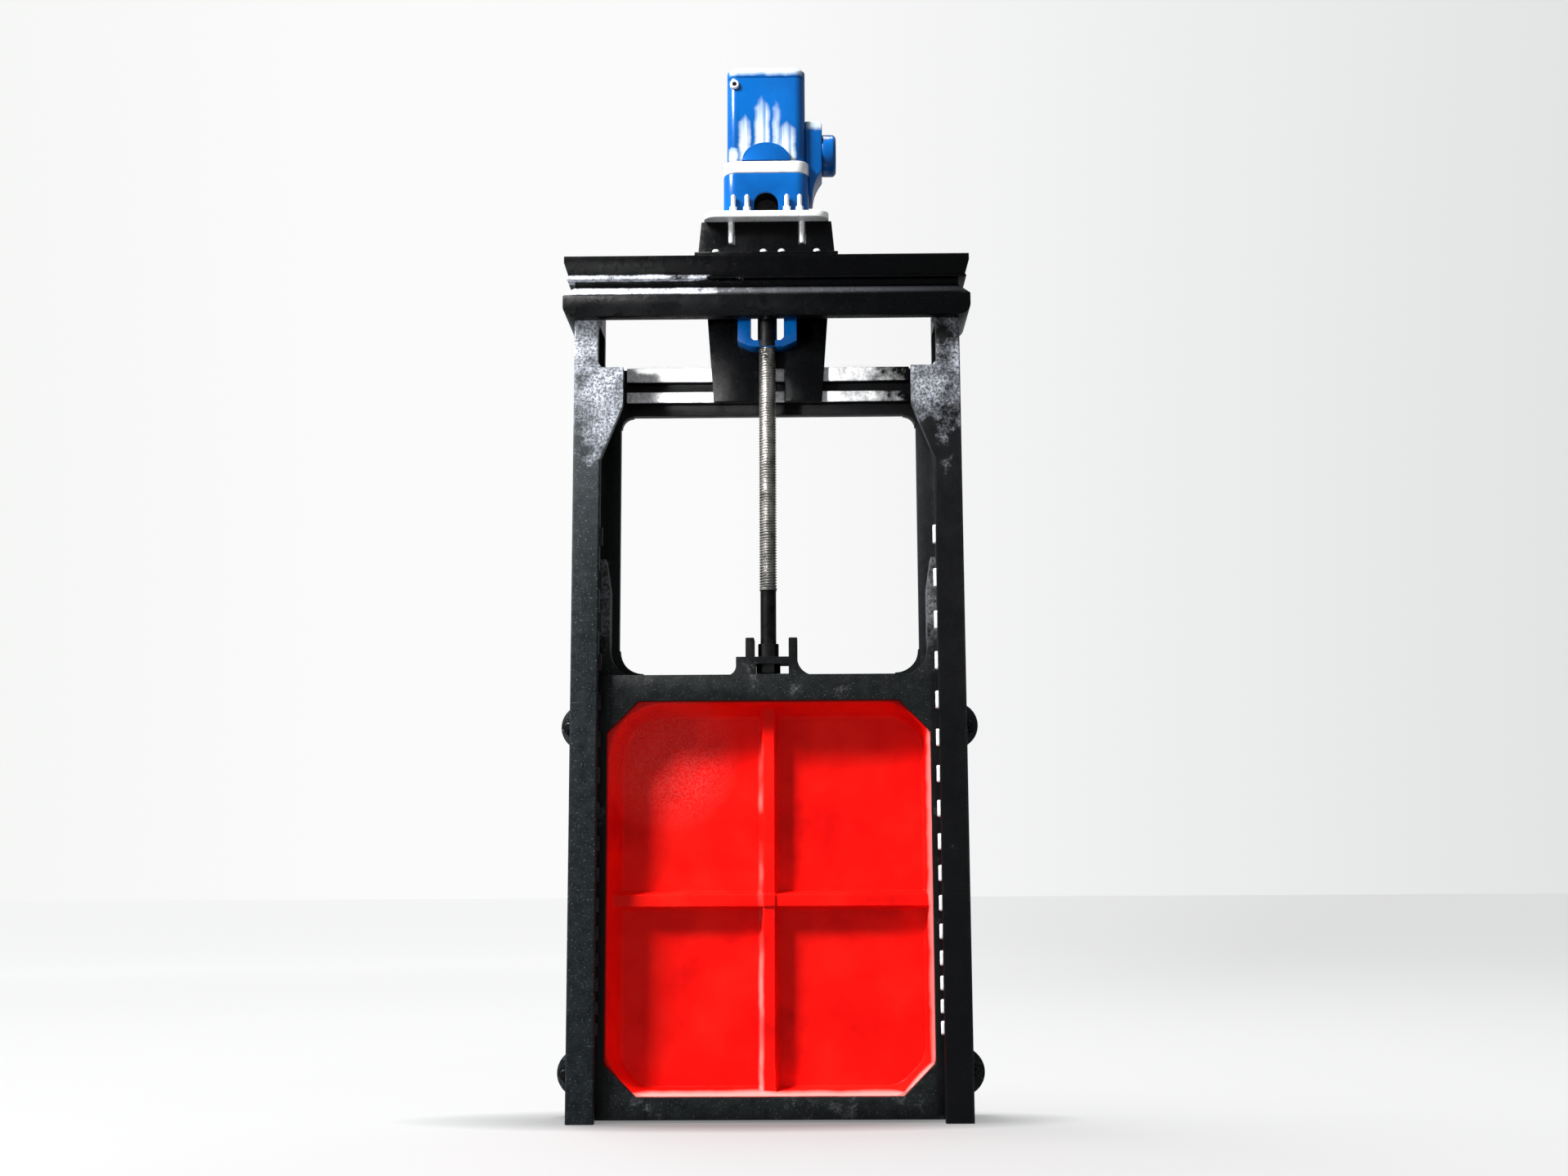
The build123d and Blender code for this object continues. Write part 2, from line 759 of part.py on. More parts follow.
def make_parts():
    right_rail = make_right_rail()
    left_tie_plate, right_tie_plate = make_tie_plates()
    strip_depth = (strip_front, flange_front)
    plate_depth = (flange_front, 0)
    strip_outer = port_half_width + seat_strip_width
    strip_bottom = sill_height - seat_strip_width
    strip_top = port_top + seat_strip_width
    parts = {
        "right_guide_rail": right_rail,
        "left_guide_rail": other_side(right_rail),
        "sill_plate": block((-flange_inner, flange_inner), plate_depth, (0, sill_height)),
        "breast_plate": make_breast_plate(),
        "seat_strip_bottom": block(
            (-port_half_width, port_half_width), strip_depth, (strip_bottom, sill_height)
        ),
        "seat_strip_top": block((-port_half_width, port_half_width), strip_depth, (port_top, strip_top)),
        "tie_beam": make_tie_beam(),
        "left_tie_plate": left_tie_plate,
        "right_tie_plate": right_tie_plate,
        "stem_guide": make_stem_guide(),
        "guide_bush": make_guide_bush(),
        "crosshead": make_crosshead(),
        "pedestal": make_pedestal(),
        "drive_nut": make_drive_nut(),
        "base_flange": make_base_flange(),
        "gear_housing": make_gear_housing(),
        "joint_ring": make_joint_ring(),
        "upper_housing": make_upper_housing(),
        "top_cap": make_top_cap(),
        "side_housing": make_side_housing(),
        "side_cap": make_side_cap(),
        "leaf_frame": make_leaf_frame(),
        "leaf_panel": make_leaf_panel(),
        "stem": make_stem(),
        "stem_nut": make_stem_nut(),
        "stem_collar": make_stem_collar(),
    }
    for name, side in (("left", -1), ("right", 1)):
        jamb_x = sorted((side * port_half_width, side * flange_inner))
        strip_x = sorted((side * port_half_width, side * strip_outer))
        parts[name + "_port_jamb"] = block(jamb_x, plate_depth, (sill_height, port_top))
        parts["seat_strip_" + name] = block(strip_x, strip_depth, (strip_bottom, strip_top))
    return parts


os.makedirs("parts", exist_ok=True)
for node, shape in make_parts().items():
    export_step(shape, os.path.join("parts", node + ".step"))
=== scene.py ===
"""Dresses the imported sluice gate: camera, light, materials and the detail that the solids leave out.

Metres, in the frame of the part: the wall plane is y = 0, the front faces -Y and +Z is up.
"""
import json
import math

import bmesh
import bpy
from mathutils import Matrix, Vector, noise


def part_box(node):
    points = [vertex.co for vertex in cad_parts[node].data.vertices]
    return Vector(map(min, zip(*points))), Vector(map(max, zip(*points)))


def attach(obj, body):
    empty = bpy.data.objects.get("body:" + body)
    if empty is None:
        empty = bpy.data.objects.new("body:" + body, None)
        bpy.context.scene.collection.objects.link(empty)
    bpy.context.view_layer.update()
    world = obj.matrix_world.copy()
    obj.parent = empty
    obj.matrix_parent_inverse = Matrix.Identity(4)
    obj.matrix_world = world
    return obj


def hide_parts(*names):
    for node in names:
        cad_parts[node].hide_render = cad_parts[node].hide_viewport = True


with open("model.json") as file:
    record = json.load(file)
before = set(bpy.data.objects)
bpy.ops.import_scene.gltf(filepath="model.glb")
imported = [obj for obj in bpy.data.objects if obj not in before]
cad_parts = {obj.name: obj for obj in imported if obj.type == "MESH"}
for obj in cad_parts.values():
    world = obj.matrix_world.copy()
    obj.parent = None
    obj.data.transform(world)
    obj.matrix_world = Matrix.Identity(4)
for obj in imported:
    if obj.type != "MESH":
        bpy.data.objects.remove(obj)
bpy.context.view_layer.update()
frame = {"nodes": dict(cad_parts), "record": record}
nodes = frame["nodes"]

# Camera that matches the photograph
PHOTO_WIDTH = 1918
FOCAL_PIXELS = 2300
SENSOR_WIDTH = 36.0
CAMERA_PLACE = (0.09772, -4.81279, 0.57576)
CAMERA_YAW = 0.01229
CAMERA_PITCH = 0.15421
CAMERA_ROLL = -0.00492

# Surroundings
FILL_STRENGTH = 0.4
FILL_COLOUR = (0.95, 0.97, 1.0, 1)
WALL_SPAN = (-0.4, 0.45)
WALL_SHADES = [
    (0.0, (0.92, 0.93, 0.92)), (0.25, (0.965, 0.97, 0.965)), (0.42, (0.955, 0.96, 0.955)),
    (0.65, (0.865, 0.875, 0.87)), (1.0, (0.73, 0.74, 0.74)),
]

# Floor, whose glow grows with the distance from the gate's foot
FLOOR_REACH = 60.0
FLOOR_COLOUR = (0.3, 0.3, 0.302, 1)
FLOOR_ROUGHNESS = 0.8
FLOOR_GLOW = (0.58, 0.8)
FLOOR_GLOW_REACH = (1.5, 9.0)
FLOOR_DIMMING = 0.24
FLOOR_DIM_SPAN = (-0.1, 0.3)
FLOOR_DIM_OFFSET = 1.5
FOOT_SHADE_REACH = (0.85, 0.24)
FOOT_SHADE_MIDDLE = (-0.08, -0.1)
FOOT_SHADE_SPAN = (0.25, 1.0)
FOOT_SHADE_GLOW = 0.38

# Lights
KEY_PLACE = (-4.4, -3.15, 6.2)
KEY_TARGET = (0, -0.1, 1.1)
KEY_SIZE = (1.7, 1.7)
KEY_POWER = 1600
TOP_PLACE = (-1.2, 0.6, 6.5)
TOP_TARGET = (0, -0.1, 0)
TOP_SIZE = (3.0, 3.0)
TOP_POWER = 420
SIDE_PLACE = (-1.95, -2.55, 1.5)
SIDE_TARGET = (-0.1, -0.1, 1.79)
SIDE_SIZE = (0.5, 0.3)
SIDE_POWER = 3.2
SIDE_SPREAD = math.radians(16)
EDGE_PLACE = (-2.6, -1.3, 0.65)
EDGE_TARGET = (0, -0.1, 0.65)
EDGE_SIZE = (0.1, 1.5)
EDGE_POWER = 10

# Places taken from the solids
STEM_LOW, STEM_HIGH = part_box("stem")
STEM_Y = (STEM_LOW[1] + STEM_HIGH[1]) / 2
PANEL_LOW, PANEL_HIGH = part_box("leaf_panel")

# Noises, as scale, detail and roughness
MOTTLE = (38, 6, 0.55)
GRAIN = (420, 3, 0.55)
PATCHES = (14, 8, 0.68)
SPECKS = (210, 3, 0.55)
PITS = (150, 4, 0.7)
CLOUD = (6, 5, 0.6)
STREAK = (9, 6, 0.6)
PEEL = (170, 4, 0.55)
HAZE_GRAIN = (260, 3, 0.55)
STAIN = (26, 6, 0.65)
MARKS = (60, 4, 0.6)

# Bumps, as strength and distance
MOTTLE_BUMP = (0.5, 0.0025)
GRAIN_BUMP = (0.55, 0.0009)
STREAK_BUMP = (0.22, 0.003)
PEEL_BUMP = (0.06, 0.0008)
MARK_BUMP = (0.18, 0.0006)

# Parts of a noise's range
MIDDLE_RANGE = (0.3, 0.7)
WAVE_RANGE = (0.25, 0.75)
SPECK_RANGE = (0.6, 0.7)
PIT_RANGE = (0.4, 0.6)
CLOUD_STOPS = (0.28, 0.5, 0.75)
STAIN_STOPS = (0.3, 0.62)
HAZE_GRAIN_RANGE = (0.42, 0.64)
HAZE_THIN = 0.15

# Black paint: scuffs, painted sheen and highlights, and painted shade
SPECK_LIFT = 5.0
DARKENED_BLACK = (0.0015, 0.0015, 0.002)
LIP_FRONT_SPAN = (-0.17, -0.15)
# Scuffs and painted sheen on the fronts of the posts and gussets, fading towards the right
TOP_SHEEN_SPAN = (1.5, 1.78)
TOP_SHEEN_AMOUNT = 0.34
TOP_SHEEN_ACROSS = (-0.35, 0.45)
TOP_SHEEN_RIGHT = 0.8
# Painted shade behind the rails' front lips and on the right rail's front
RAIL_SHADE_DEPTH = 0.85
RIGHT_RAIL_SHADE = 0.95
RIGHT_RAIL_SHADE_SPAN = (0.2, 0.42)
RAIL_SIDE_SPAN = (0.484, 0.488)
# Painted shade on the leaf's stiles behind the rails' lips, and darker lugs
STILE_SHADE = 0.9
STILE_SPAN = (0.398, 0.406)
LEAF_BAR_SPAN = (1.06, 1.09)
LUG_DARKENING = 0.75
LUG_SIDE_SPAN = (0.13, 0.2)
LUG_SPAN = (1.09, 1.12)
# Painted highlight on the leaf's guide ears; a few scuffs along its bottom bar
EAR_HIGHLIGHT = 0.3
EAR_SIDE_SPAN = (0.34, 0.344)
EAR_SPAN = (1.14, 1.2)
LOW_BAR_WEAR = 0.06
LOW_BAR_SPAN = (0.07, 0.1)
# Painted sheen on the fronts of the tie beam's ribs, less towards the right
RIB_SHEEN = (0.5, 0.1)
RIB_SHEEN_ACROSS = (0.16, 0.4)
RIB_SHEEN_DEPTH = (-0.062, -0.054)
# Painted highlights on the crosshead's slope and bead
MOULDING_HIGHLIGHT = 0.42
MOULDING_ACROSS = (-0.26, 0.2)
MOULDING_FRONT = (-0.17, -0.15)
BEAD_BAND = (2.046, 2.073)
SLOPE_BAND = (2.086, 2.104)
BAND_EDGE = 0.004
BEAD_FADE = 0.010
BEAD_SHARE = (0.1, 0.02)
BEAD_ACROSS = (-0.1, 0.5)

# Enamel: chips, painted highlights on the rims, a chalky haze and painted glare streaks
CHIP_EDGE = 0.05
CHIP_SHARE = 0.7
COAT_ROUGHNESS = 0.1
# Pale colours: on the red, painted highlights and a chalky haze; on the blue, painted glare
RED_PALE = (0.95, 0.42, 0.38)
BLUE_GLARE = (0.6, 0.68, 0.68)
FINE = 0.0005
TRAY_BACK_DEPTH = 0.008
# Painted highlights along the tray's right and lower rims, its cut corner and its rib's flank
RIM_HIGHLIGHT_INSET = 0.005
RIM_FADE = 0.006
RIM_WANDER = 0.002
RIM_WAVE_UP = 14
RIM_WAVE_ACROSS = 9
RIM_RIGHT_SHARE = 0.34
RIM_BOTTOM_SHARE = 0.6
CORNER_HIGHLIGHT_INSET = 0.004
CORNER_SHARE = 0.5
FLANK_HIGHLIGHT_SPAN = (-0.030, -0.013)
FLANK_TOP_SPAN = (0.73, 0.93)
FLANK_WAVE = 5
FLANK_WAVE_SPAN = (-0.3, 0.4)
FLANK_SHARE = 0.4
HAZE_MIDDLE = (-0.26, 0.88)
HAZE_REACH = (0.19, 0.19)
HAZE_SPAN = (0.05, 1.0)
HAZE_SHARE = 0.11
# Each painted glare streak as its middle, half its width and its rise above the joint ring
GLARE_STREAKS = (
    (-0.088, 0.020, 0.05), (-0.055, 0.018, 0.15), (-0.010, 0.022, 0.205), (0.027, 0.012, 0.2),
    (0.054, 0.025, 0.125),
)
# Shape of the painted glare streaks and of the painted highlights along upper edges
GLARE_TAPER = 0.72
GLARE_FADE = 0.4
GLARE_EDGE = 0.012
GLARE_WAVE = 25
GLARE_WANDER = 0.003
GLARE_DEPTH = (0.083, 0.066)
GLARE_DEPTH_EDGE = 0.002
GLARE_BREAKUP_WAVE = 90
GLARE_BREAKUP_SPAN = (-0.7, 0.3)
GLARE_BREAKUP_THIN = 0.3
EDGE_GLARE_DROP = 0.026
EDGE_GLARE_SHARE = 0.8
EDGE_GLARE_WAVE = 30
EDGE_GLARE_DEPTH = (0.008, 0.014)

# Shape of the red tray
TRAY_RIM = 0.006
TRAY_DRAFT = 0.026
TRAY_THICKNESS = 0.020
TRAY_RIB_HEIGHT = 0.042
TRAY_RIB_HALF = 0.015
TRAY_RIB_DRAFT = 0.007
TRAY_CUT = 0.078
TRAY_CROSS_DROP = 0.012
TRAY_CORNER_BLEND = 0.05
TRAY_EDGE_BLEND = 0.008
TRAY_RIB_BLEND = 0.016
TRAY_FLOOR_BLEND = 0.024
TRAY_STEEPER = 2.2
TRAY_STEP = 0.009
TRAY_FINE_STEP = 0.002
TRAY_WALL_MARGIN = 0.016
TRAY_RIB_MARGIN = 0.012
TRAY_CREASE = 50
TRAY_RIPPLE = 0.0011
# Each ripple as its scale, its share and the layer of the noise that it is read from
TRAY_RIPPLES = ((9, 1.0, 0.5), (31, 0.5, 4.5))


def set_socket(shader, values):
    for name, value in values.items():
        shader.inputs[name].default_value = value


def noise_texture(tree, coordinates, kind, stretch=None):
    """Noise of a kind in object coordinates, optionally stretched along the axes."""
    vector = coordinates
    if stretch is not None:
        mapping = tree.nodes.new("ShaderNodeMapping")
        mapping.inputs["Scale"].default_value = stretch
        tree.links.new(coordinates, mapping.inputs["Vector"])
        vector = mapping.outputs["Vector"]
    scale, detail, roughness = kind
    texture = tree.nodes.new("ShaderNodeTexNoise")
    set_socket(texture, {"Scale": scale, "Detail": detail, "Roughness": roughness})
    tree.links.new(vector, texture.inputs["Vector"])
    return texture.outputs["Fac"]


def ramp(tree, value, stops):
    """Colour ramp through (position, colour) stops."""
    node = tree.nodes.new("ShaderNodeValToRGB")
    elements = node.color_ramp.elements
    elements[0].position, elements[0].color = stops[0][0], (*stops[0][1], 1)
    elements[1].position, elements[1].color = stops[-1][0], (*stops[-1][1], 1)
    for position, colour in stops[1:-1]:
        element = elements.new(position)
        element.color = (*colour, 1)
    tree.links.new(value, node.inputs["Fac"])
    return node.outputs["Color"]


def span(tree, value, limits, results):
    """Number mapped from one pair of limits to a pair of results and held at its ends."""
    node = tree.nodes.new("ShaderNodeMapRange")
    node.clamp = True
    set_socket(node, {
        "From Min": limits[0], "From Max": limits[1], "To Min": results[0], "To Max": results[1],
    })
    tree.links.new(value, node.inputs["Value"])
    return node.outputs["Result"]


def mixed(tree, factor, first, second):
    """Two colours mixed by a factor. A colour is an output or a plain triple."""
    node = tree.nodes.new("ShaderNodeMix")
    node.data_type = "RGBA"
    tree.links.new(factor, node.inputs["Factor"])
    for name, colour in (("A", first), ("B", second)):
        socket = [s for s in node.inputs if s.name == name and s.type == "RGBA"][0]
        if isinstance(colour, tuple):
            socket.default_value = (*colour, 1)
        else:
            tree.links.new(colour, socket)
    return [s for s in node.outputs if s.type == "RGBA"][0]


def bumps(tree, shader, layers):
    """Chains bump nodes, each from (height output, strength, distance)."""
    normal = None
    for height, strength, distance in layers:
        node = tree.nodes.new("ShaderNodeBump")
        set_socket(node, {"Strength": strength, "Distance": distance})
        tree.links.new(height, node.inputs["Height"])
        if normal is not None:
            tree.links.new(normal, node.inputs["Normal"])
        normal = node.outputs["Normal"]
    tree.links.new(normal, shader.inputs["Normal"])


def new_material(name):
    material = bpy.data.materials.new(name)
    material.use_nodes = True
    tree = material.node_tree
    shader = tree.nodes["Principled BSDF"]
    coordinates = tree.nodes.new("ShaderNodeTexCoord").outputs["Object"]
    return material, tree, shader, coordinates


def axis_values(tree, coordinates):
    """Separate X, Y and Z outputs of a place."""
    node = tree.nodes.new("ShaderNodeSeparateXYZ")
    tree.links.new(coordinates, node.inputs["Vector"])
    return node.outputs["X"], node.outputs["Y"], node.outputs["Z"]


def combined(tree, operation, *values):
    """Numbers put together one after another by a sum, product or the like."""
    result = values[0]
    for value in values[1:]:
        node = tree.nodes.new("ShaderNodeMath")
        node.operation = operation
        for socket, number in zip(node.inputs, (result, value)):
            if isinstance(number, (int, float)):
                socket.default_value = number
            else:
                tree.links.new(number, socket)
        result = node.outputs["Value"]
    return result


def product(tree, *values):
    return combined(tree, "MULTIPLY", *values)


def largest(tree, *values):
    return combined(tree, "MAXIMUM", *values)


def apart(tree, value, middle):
    """How far a number lies from a middle value, to either side."""
    node = tree.nodes.new("ShaderNodeMath")
    node.operation = "ABSOLUTE"
    tree.links.new(combined(tree, "SUBTRACT", value, middle), node.inputs[0])
    return node.outputs["Value"]


def between(tree, value, limits, edge):
    """One between two limits and nought outside them, with soft edges."""
    low, high = limits
    above = span(tree, value, (low, low + edge), (0, 1))
    return product(tree, above, span(tree, value, (high - edge, high), (1, 0)))


def wave(tree, value, scale, reach):
    """Number that wanders by up to a reach to either side of nought along a value."""
    texture = tree.nodes.new("ShaderNodeTexNoise")
    texture.noise_dimensions = "1D"
    texture.inputs["Scale"].default_value = scale
    tree.links.new(value, texture.inputs["W"])
    return span(tree, texture.outputs["Fac"], WAVE_RANGE, (-reach, reach))


def off_middle(tree, values, middle, reach):
    """Squared distance from a middle, counted in reaches."""
    squares = []
    for value, centre, length in zip(values, middle, reach):
        offset = combined(tree, "DIVIDE", combined(tree, "SUBTRACT", value, centre), length)
        squares.append(product(tree, offset, offset))
    return combined(tree, "ADD", *squares)


def cast_paint(name, dark, light, scuff_and_sheen, scuff_and_sheen_span, pitting, gloss, shine, sheen_and_wear, darkening=None, highlight_line=None):
    """Black paint over a rough casting, with pale specks and with scuffs where the noise is high.

    Pitting is how much of a scuffed patch its pits leave. From the X, Y and Z of a place, one mask gives an
    extra amount of the pale colour, which paints sheen and highlights as well as scuffs, another a share of
    near-black, which mostly paints shade, and a third a share of the pale colour as a painted highlight.
    """
    material, tree, shader, place = new_material(name)
    spot = axis_values(tree, place)
    mottle = noise_texture(tree, place, MOTTLE)
    grain = noise_texture(tree, place, GRAIN)
    patches = noise_texture(tree, place, PATCHES)
    specks = noise_texture(tree, place, SPECKS)
    pits = noise_texture(tree, place, PITS)
    colour = ramp(tree, mottle, list(zip(MIDDLE_RANGE, (dark, light))))
    speck_colour = tuple(SPECK_LIFT * value for value in light)
    colour = mixed(tree, span(tree, specks, SPECK_RANGE, (0, 1)), colour, speck_colour)
    # Near-black share, mostly painted shade
    if darkening is not None:
        colour = mixed(tree, darkening(tree, *spot), colour, DARKENED_BLACK)
    # Pale colour: scuffs from the noise, and painted sheen and highlights from the mask
    amount = combined(tree, "ADD", patches, sheen_and_wear(tree, *spot))
    pale_share = span(tree, amount, scuff_and_sheen_span, (0, 1))
    pale_share = product(tree, pale_share, span(tree, pits, PIT_RANGE, (pitting, 1)))
    # Painted highlight band
    if highlight_line is not None:
        pale_share = largest(tree, pale_share, highlight_line(tree, *spot))
    colour = mixed(tree, pale_share, colour, scuff_and_sheen)
    tree.links.new(colour, shader.inputs["Base Color"])
    tree.links.new(span(tree, patches, MIDDLE_RANGE, gloss), shader.inputs["Roughness"])
    set_socket(shader, {"Specular IOR Level": shine})
    bumps(tree, shader, [(mottle, *MOTTLE_BUMP), (grain, *GRAIN_BUMP)])
    return material


def top_scuffs_and_sheen(tree, x, y, z):
    """Scuffs and painted sheen on the fronts of the posts and gussets, most on the left."""
    height = span(tree, z, TOP_SHEEN_SPAN, (0, TOP_SHEEN_AMOUNT))
    front = span(tree, y, LIP_FRONT_SPAN, (1, 0))
    return product(tree, height, front, span(tree, x, TOP_SHEEN_ACROSS, (1, TOP_SHEEN_RIGHT)))


def painted_rail_shade(tree, x, y, z):
    """Painted shade in the rails behind their front lips, and on the front of the right rail."""
    depth = span(tree, y, LIP_FRONT_SPAN, (0, RAIL_SHADE_DEPTH))
    front = span(tree, y, LIP_FRONT_SPAN, (1, 0))
    right = product(tree, span(tree, x, RIGHT_RAIL_SHADE_SPAN, (0, RIGHT_RAIL_SHADE)), front)
    inside = span(tree, apart(tree, x, 0), RAIL_SIDE_SPAN, (1, 0))
    return product(tree, largest(tree, depth, right), inside)


def stile_shade_and_dark_lugs(tree, x, y, z):
    """Painted shade on the leaf's stiles, which lie behind the lips of the rails, and darker paint on its
    lugs.
    """
    across = apart(tree, x, 0)
    outer = span(tree, across, STILE_SPAN, (0, STILE_SHADE))
    stiles = product(tree, outer, span(tree, z, LEAF_BAR_SPAN, (1, 0)))
    middle = span(tree, across, LUG_SIDE_SPAN, (1, 0))
    lugs = product(tree, middle, span(tree, z, LUG_SPAN, (0, LUG_DARKENING)))
    return largest(tree, stiles, lugs)


def ear_highlight_and_bar_scuffs(tree, x, y, z):
    """Painted highlight on the leaf's guide ears, which ride in the rails, and a few scuffs along its bottom
    bar.
    """
    outer = span(tree, apart(tree, x, 0), EAR_SIDE_SPAN, (0, 1))
    ears = product(tree, outer, span(tree, z, EAR_SPAN, (0, EAR_HIGHLIGHT)))
    return largest(tree, ears, span(tree, z, LOW_BAR_SPAN, (LOW_BAR_WEAR, 0)))


def painted_rib_sheen(tree, x, y, z):
    """Painted sheen, broken up like scuffs, on the fronts of the ribs, less towards the right."""
    front = span(tree, y, RIB_SHEEN_DEPTH, (1, 0))
    return product(tree, front, span(tree, x, RIB_SHEEN_ACROSS, RIB_SHEEN))


def painted_moulding_highlight(tree, x, y, z):
    """Painted highlight on the slope and the bead of the crosshead towards the left end."""
    left = span(tree, x, MOULDING_ACROSS, (MOULDING_HIGHLIGHT, 0))
    front = span(tree, y, MOULDING_FRONT, (1, 0))
    bands = [between(tree, z, band, BAND_EDGE) for band in (BEAD_BAND, SLOPE_BAND)]
    return product(tree, left, front, largest(tree, *bands))


def painted_bead_highlight(tree, x, y, z):
    """Thin painted highlight along the crosshead's bead, fainter towards the right."""
    band = between(tree, z, BEAD_BAND, BEAD_FADE)
    front = span(tree, y, MOULDING_FRONT, (1, 0))
    return product(tree, band, front, span(tree, x, BEAD_ACROSS, BEAD_SHARE))


def enamel(
    name, base, deep, pale, roughness, streak_stretch, chip_from, shine, coat,
    pale_mix=None, painted_highlights=None, haze=None,
):
    """Glossy paint with brush streaks, thin places and a few chips down to a darker coat.

    From the X, Y and Z of a place, one mask gives the share of a pale colour that paints highlights and
    glare, and haze a speckled share of it as a chalky haze.
    """
    material, tree, shader, place = new_material(name)
    spot = axis_values(tree, place)
    cloud = noise_texture(tree, place, CLOUD)
    streak = noise_texture(tree, place, STREAK, streak_stretch)
    peel = noise_texture(tree, place, PEEL)
    colour = ramp(tree, cloud, list(zip(CLOUD_STOPS, (deep, base, pale))))
    chipped = span(tree, streak, (chip_from, chip_from + CHIP_EDGE), (0, CHIP_SHARE))
    colour = mixed(tree, chipped, colour, deep)
    # Pale colour that paints highlights and glare
    if painted_highlights is not None:
        colour = mixed(tree, painted_highlights(tree, *spot), colour, pale_mix)
    if haze is not None:
        speckle = span(tree, noise_texture(tree, place, HAZE_GRAIN), HAZE_GRAIN_RANGE, (HAZE_THIN, 1))
        colour = mixed(tree, product(tree, haze(tree, *spot), speckle), colour, pale_mix)
    tree.links.new(colour, shader.inputs["Base Color"])
    tree.links.new(span(tree, streak, MIDDLE_RANGE, roughness), shader.inputs["Roughness"])
    set_socket(shader, {"Specular IOR Level": shine, "Coat Weight": coat, "Coat Roughness": COAT_ROUGHNESS})
    bumps(tree, shader, [(streak, *STREAK_BUMP), (peel, *PEEL_BUMP)])
    return material


def in_tray(tree, y):
    """One on the tray's moulded front and nought on its flat back."""
    return span(tree, y, (PANEL_HIGH[1] - TRAY_BACK_DEPTH, PANEL_HIGH[1] - FINE), (1, 0))


def hazy_corner(tree, x, y, z):
    """Chalky patch in the upper left pocket of the tray."""
    squares = off_middle(tree, (x, z), HAZE_MIDDLE, HAZE_REACH)
    return product(tree, span(tree, squares, HAZE_SPAN, (HAZE_SHARE, 0)), in_tray(tree, y))


def painted_rim_highlights(tree, x, y, z):
    """Painted highlights on the tray's right and lower rims and on the left flank of its upright rib."""
    wandering_x = combined(tree, "ADD", x, wave(tree, z, RIM_WAVE_UP, RIM_WANDER))
    wandering_z = combined(tree, "ADD", z, wave(tree, x, RIM_WAVE_ACROSS, RIM_WANDER))
    right_edge = PANEL_HIGH[0] - RIM_HIGHLIGHT_INSET
    right = span(tree, wandering_x, (right_edge - RIM_FADE, right_edge), (0, RIM_RIGHT_SHARE))
    bottom_edge = PANEL_LOW[2] + RIM_HIGHLIGHT_INSET
    bottom = span(tree, wandering_z, (bottom_edge, bottom_edge + RIM_FADE), (RIM_BOTTOM_SHARE, 0))
    slant = combined(tree, "SUBTRACT", wandering_x, wandering_z)
    cut_edge = PANEL_HIGH[0] - PANEL_LOW[2] - TRAY_CUT - CORNER_HIGHLIGHT_INSET
    corner = span(tree, slant, (cut_edge - RIM_FADE, cut_edge), (0, CORNER_SHARE))
    flank = product(
        tree,
        between(tree, wandering_x, FLANK_HIGHLIGHT_SPAN, RIM_FADE),
        span(tree, wave(tree, z, FLANK_WAVE, 1), FLANK_WAVE_SPAN, (0, FLANK_SHARE)),
        span(tree, z, FLANK_TOP_SPAN, (1, 0)),
    )
    return product(tree, largest(tree, right, bottom, flank, corner), in_tray(tree, y))


def glare_streak(tree, x, z, foot, glare):
    """One painted glare streak that rises from a foot, tapers and fades out."""
    middle, half_width, rise = glare
    width = span(tree, z, (foot + GLARE_TAPER * rise, foot + rise), (half_width, -GLARE_EDGE))
    wandering = combined(tree, "ADD", x, wave(tree, z, GLARE_WAVE, GLARE_WANDER))
    inside = combined(tree, "SUBTRACT", width, apart(tree, wandering, middle))
    fading = span(tree, z, (foot + GLARE_FADE * rise, foot + rise), (1, 0))
    return product(tree, span(tree, inside, (0, GLARE_EDGE), (0, 1)), fading)


def glare_upper_edge(tree, x, y, z, node):
    """Painted highlight along a node's upper front edge."""
    low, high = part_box(node)
    edge = high[2] - EDGE_GLARE_DROP
    wandering = combined(tree, "ADD", z, wave(tree, x, EDGE_GLARE_WAVE, GLARE_WANDER))
    return product(
        tree,
        span(tree, wandering, (edge, edge + GLARE_EDGE), (0, EDGE_GLARE_SHARE)),
        between(tree, x, (low[0], high[0] + GLARE_EDGE), GLARE_EDGE),
        span(tree, y, (low[1] + EDGE_GLARE_DEPTH[0], low[1] + EDGE_GLARE_DEPTH[1]), (1, 0)),
    )


def painted_glare(tree, x, y, z):
    """Painted glare: pale streaks that rise from the joint ring on the actuator's front, and painted
    highlights along upper edges.
    """
    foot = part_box("joint_ring")[1][2]
    glares = [glare_streak(tree, x, z, foot, glare) for glare in GLARE_STREAKS]
    share = product(
        tree,
        largest(tree, *glares),
        between(tree, y, (STEM_Y - GLARE_DEPTH[0], STEM_Y - GLARE_DEPTH[1]), GLARE_DEPTH_EDGE),
        span(tree, wave(tree, x, GLARE_BREAKUP_WAVE, 1), GLARE_BREAKUP_SPAN, (GLARE_BREAKUP_THIN, 1)),
        span(tree, z, (foot - GLARE_EDGE, foot), (0, 1)),
    )
    edges = [glare_upper_edge(tree, x, y, z, node) for node in ("top_cap", "side_housing", "side_cap")]
    return largest(tree, share, *edges)


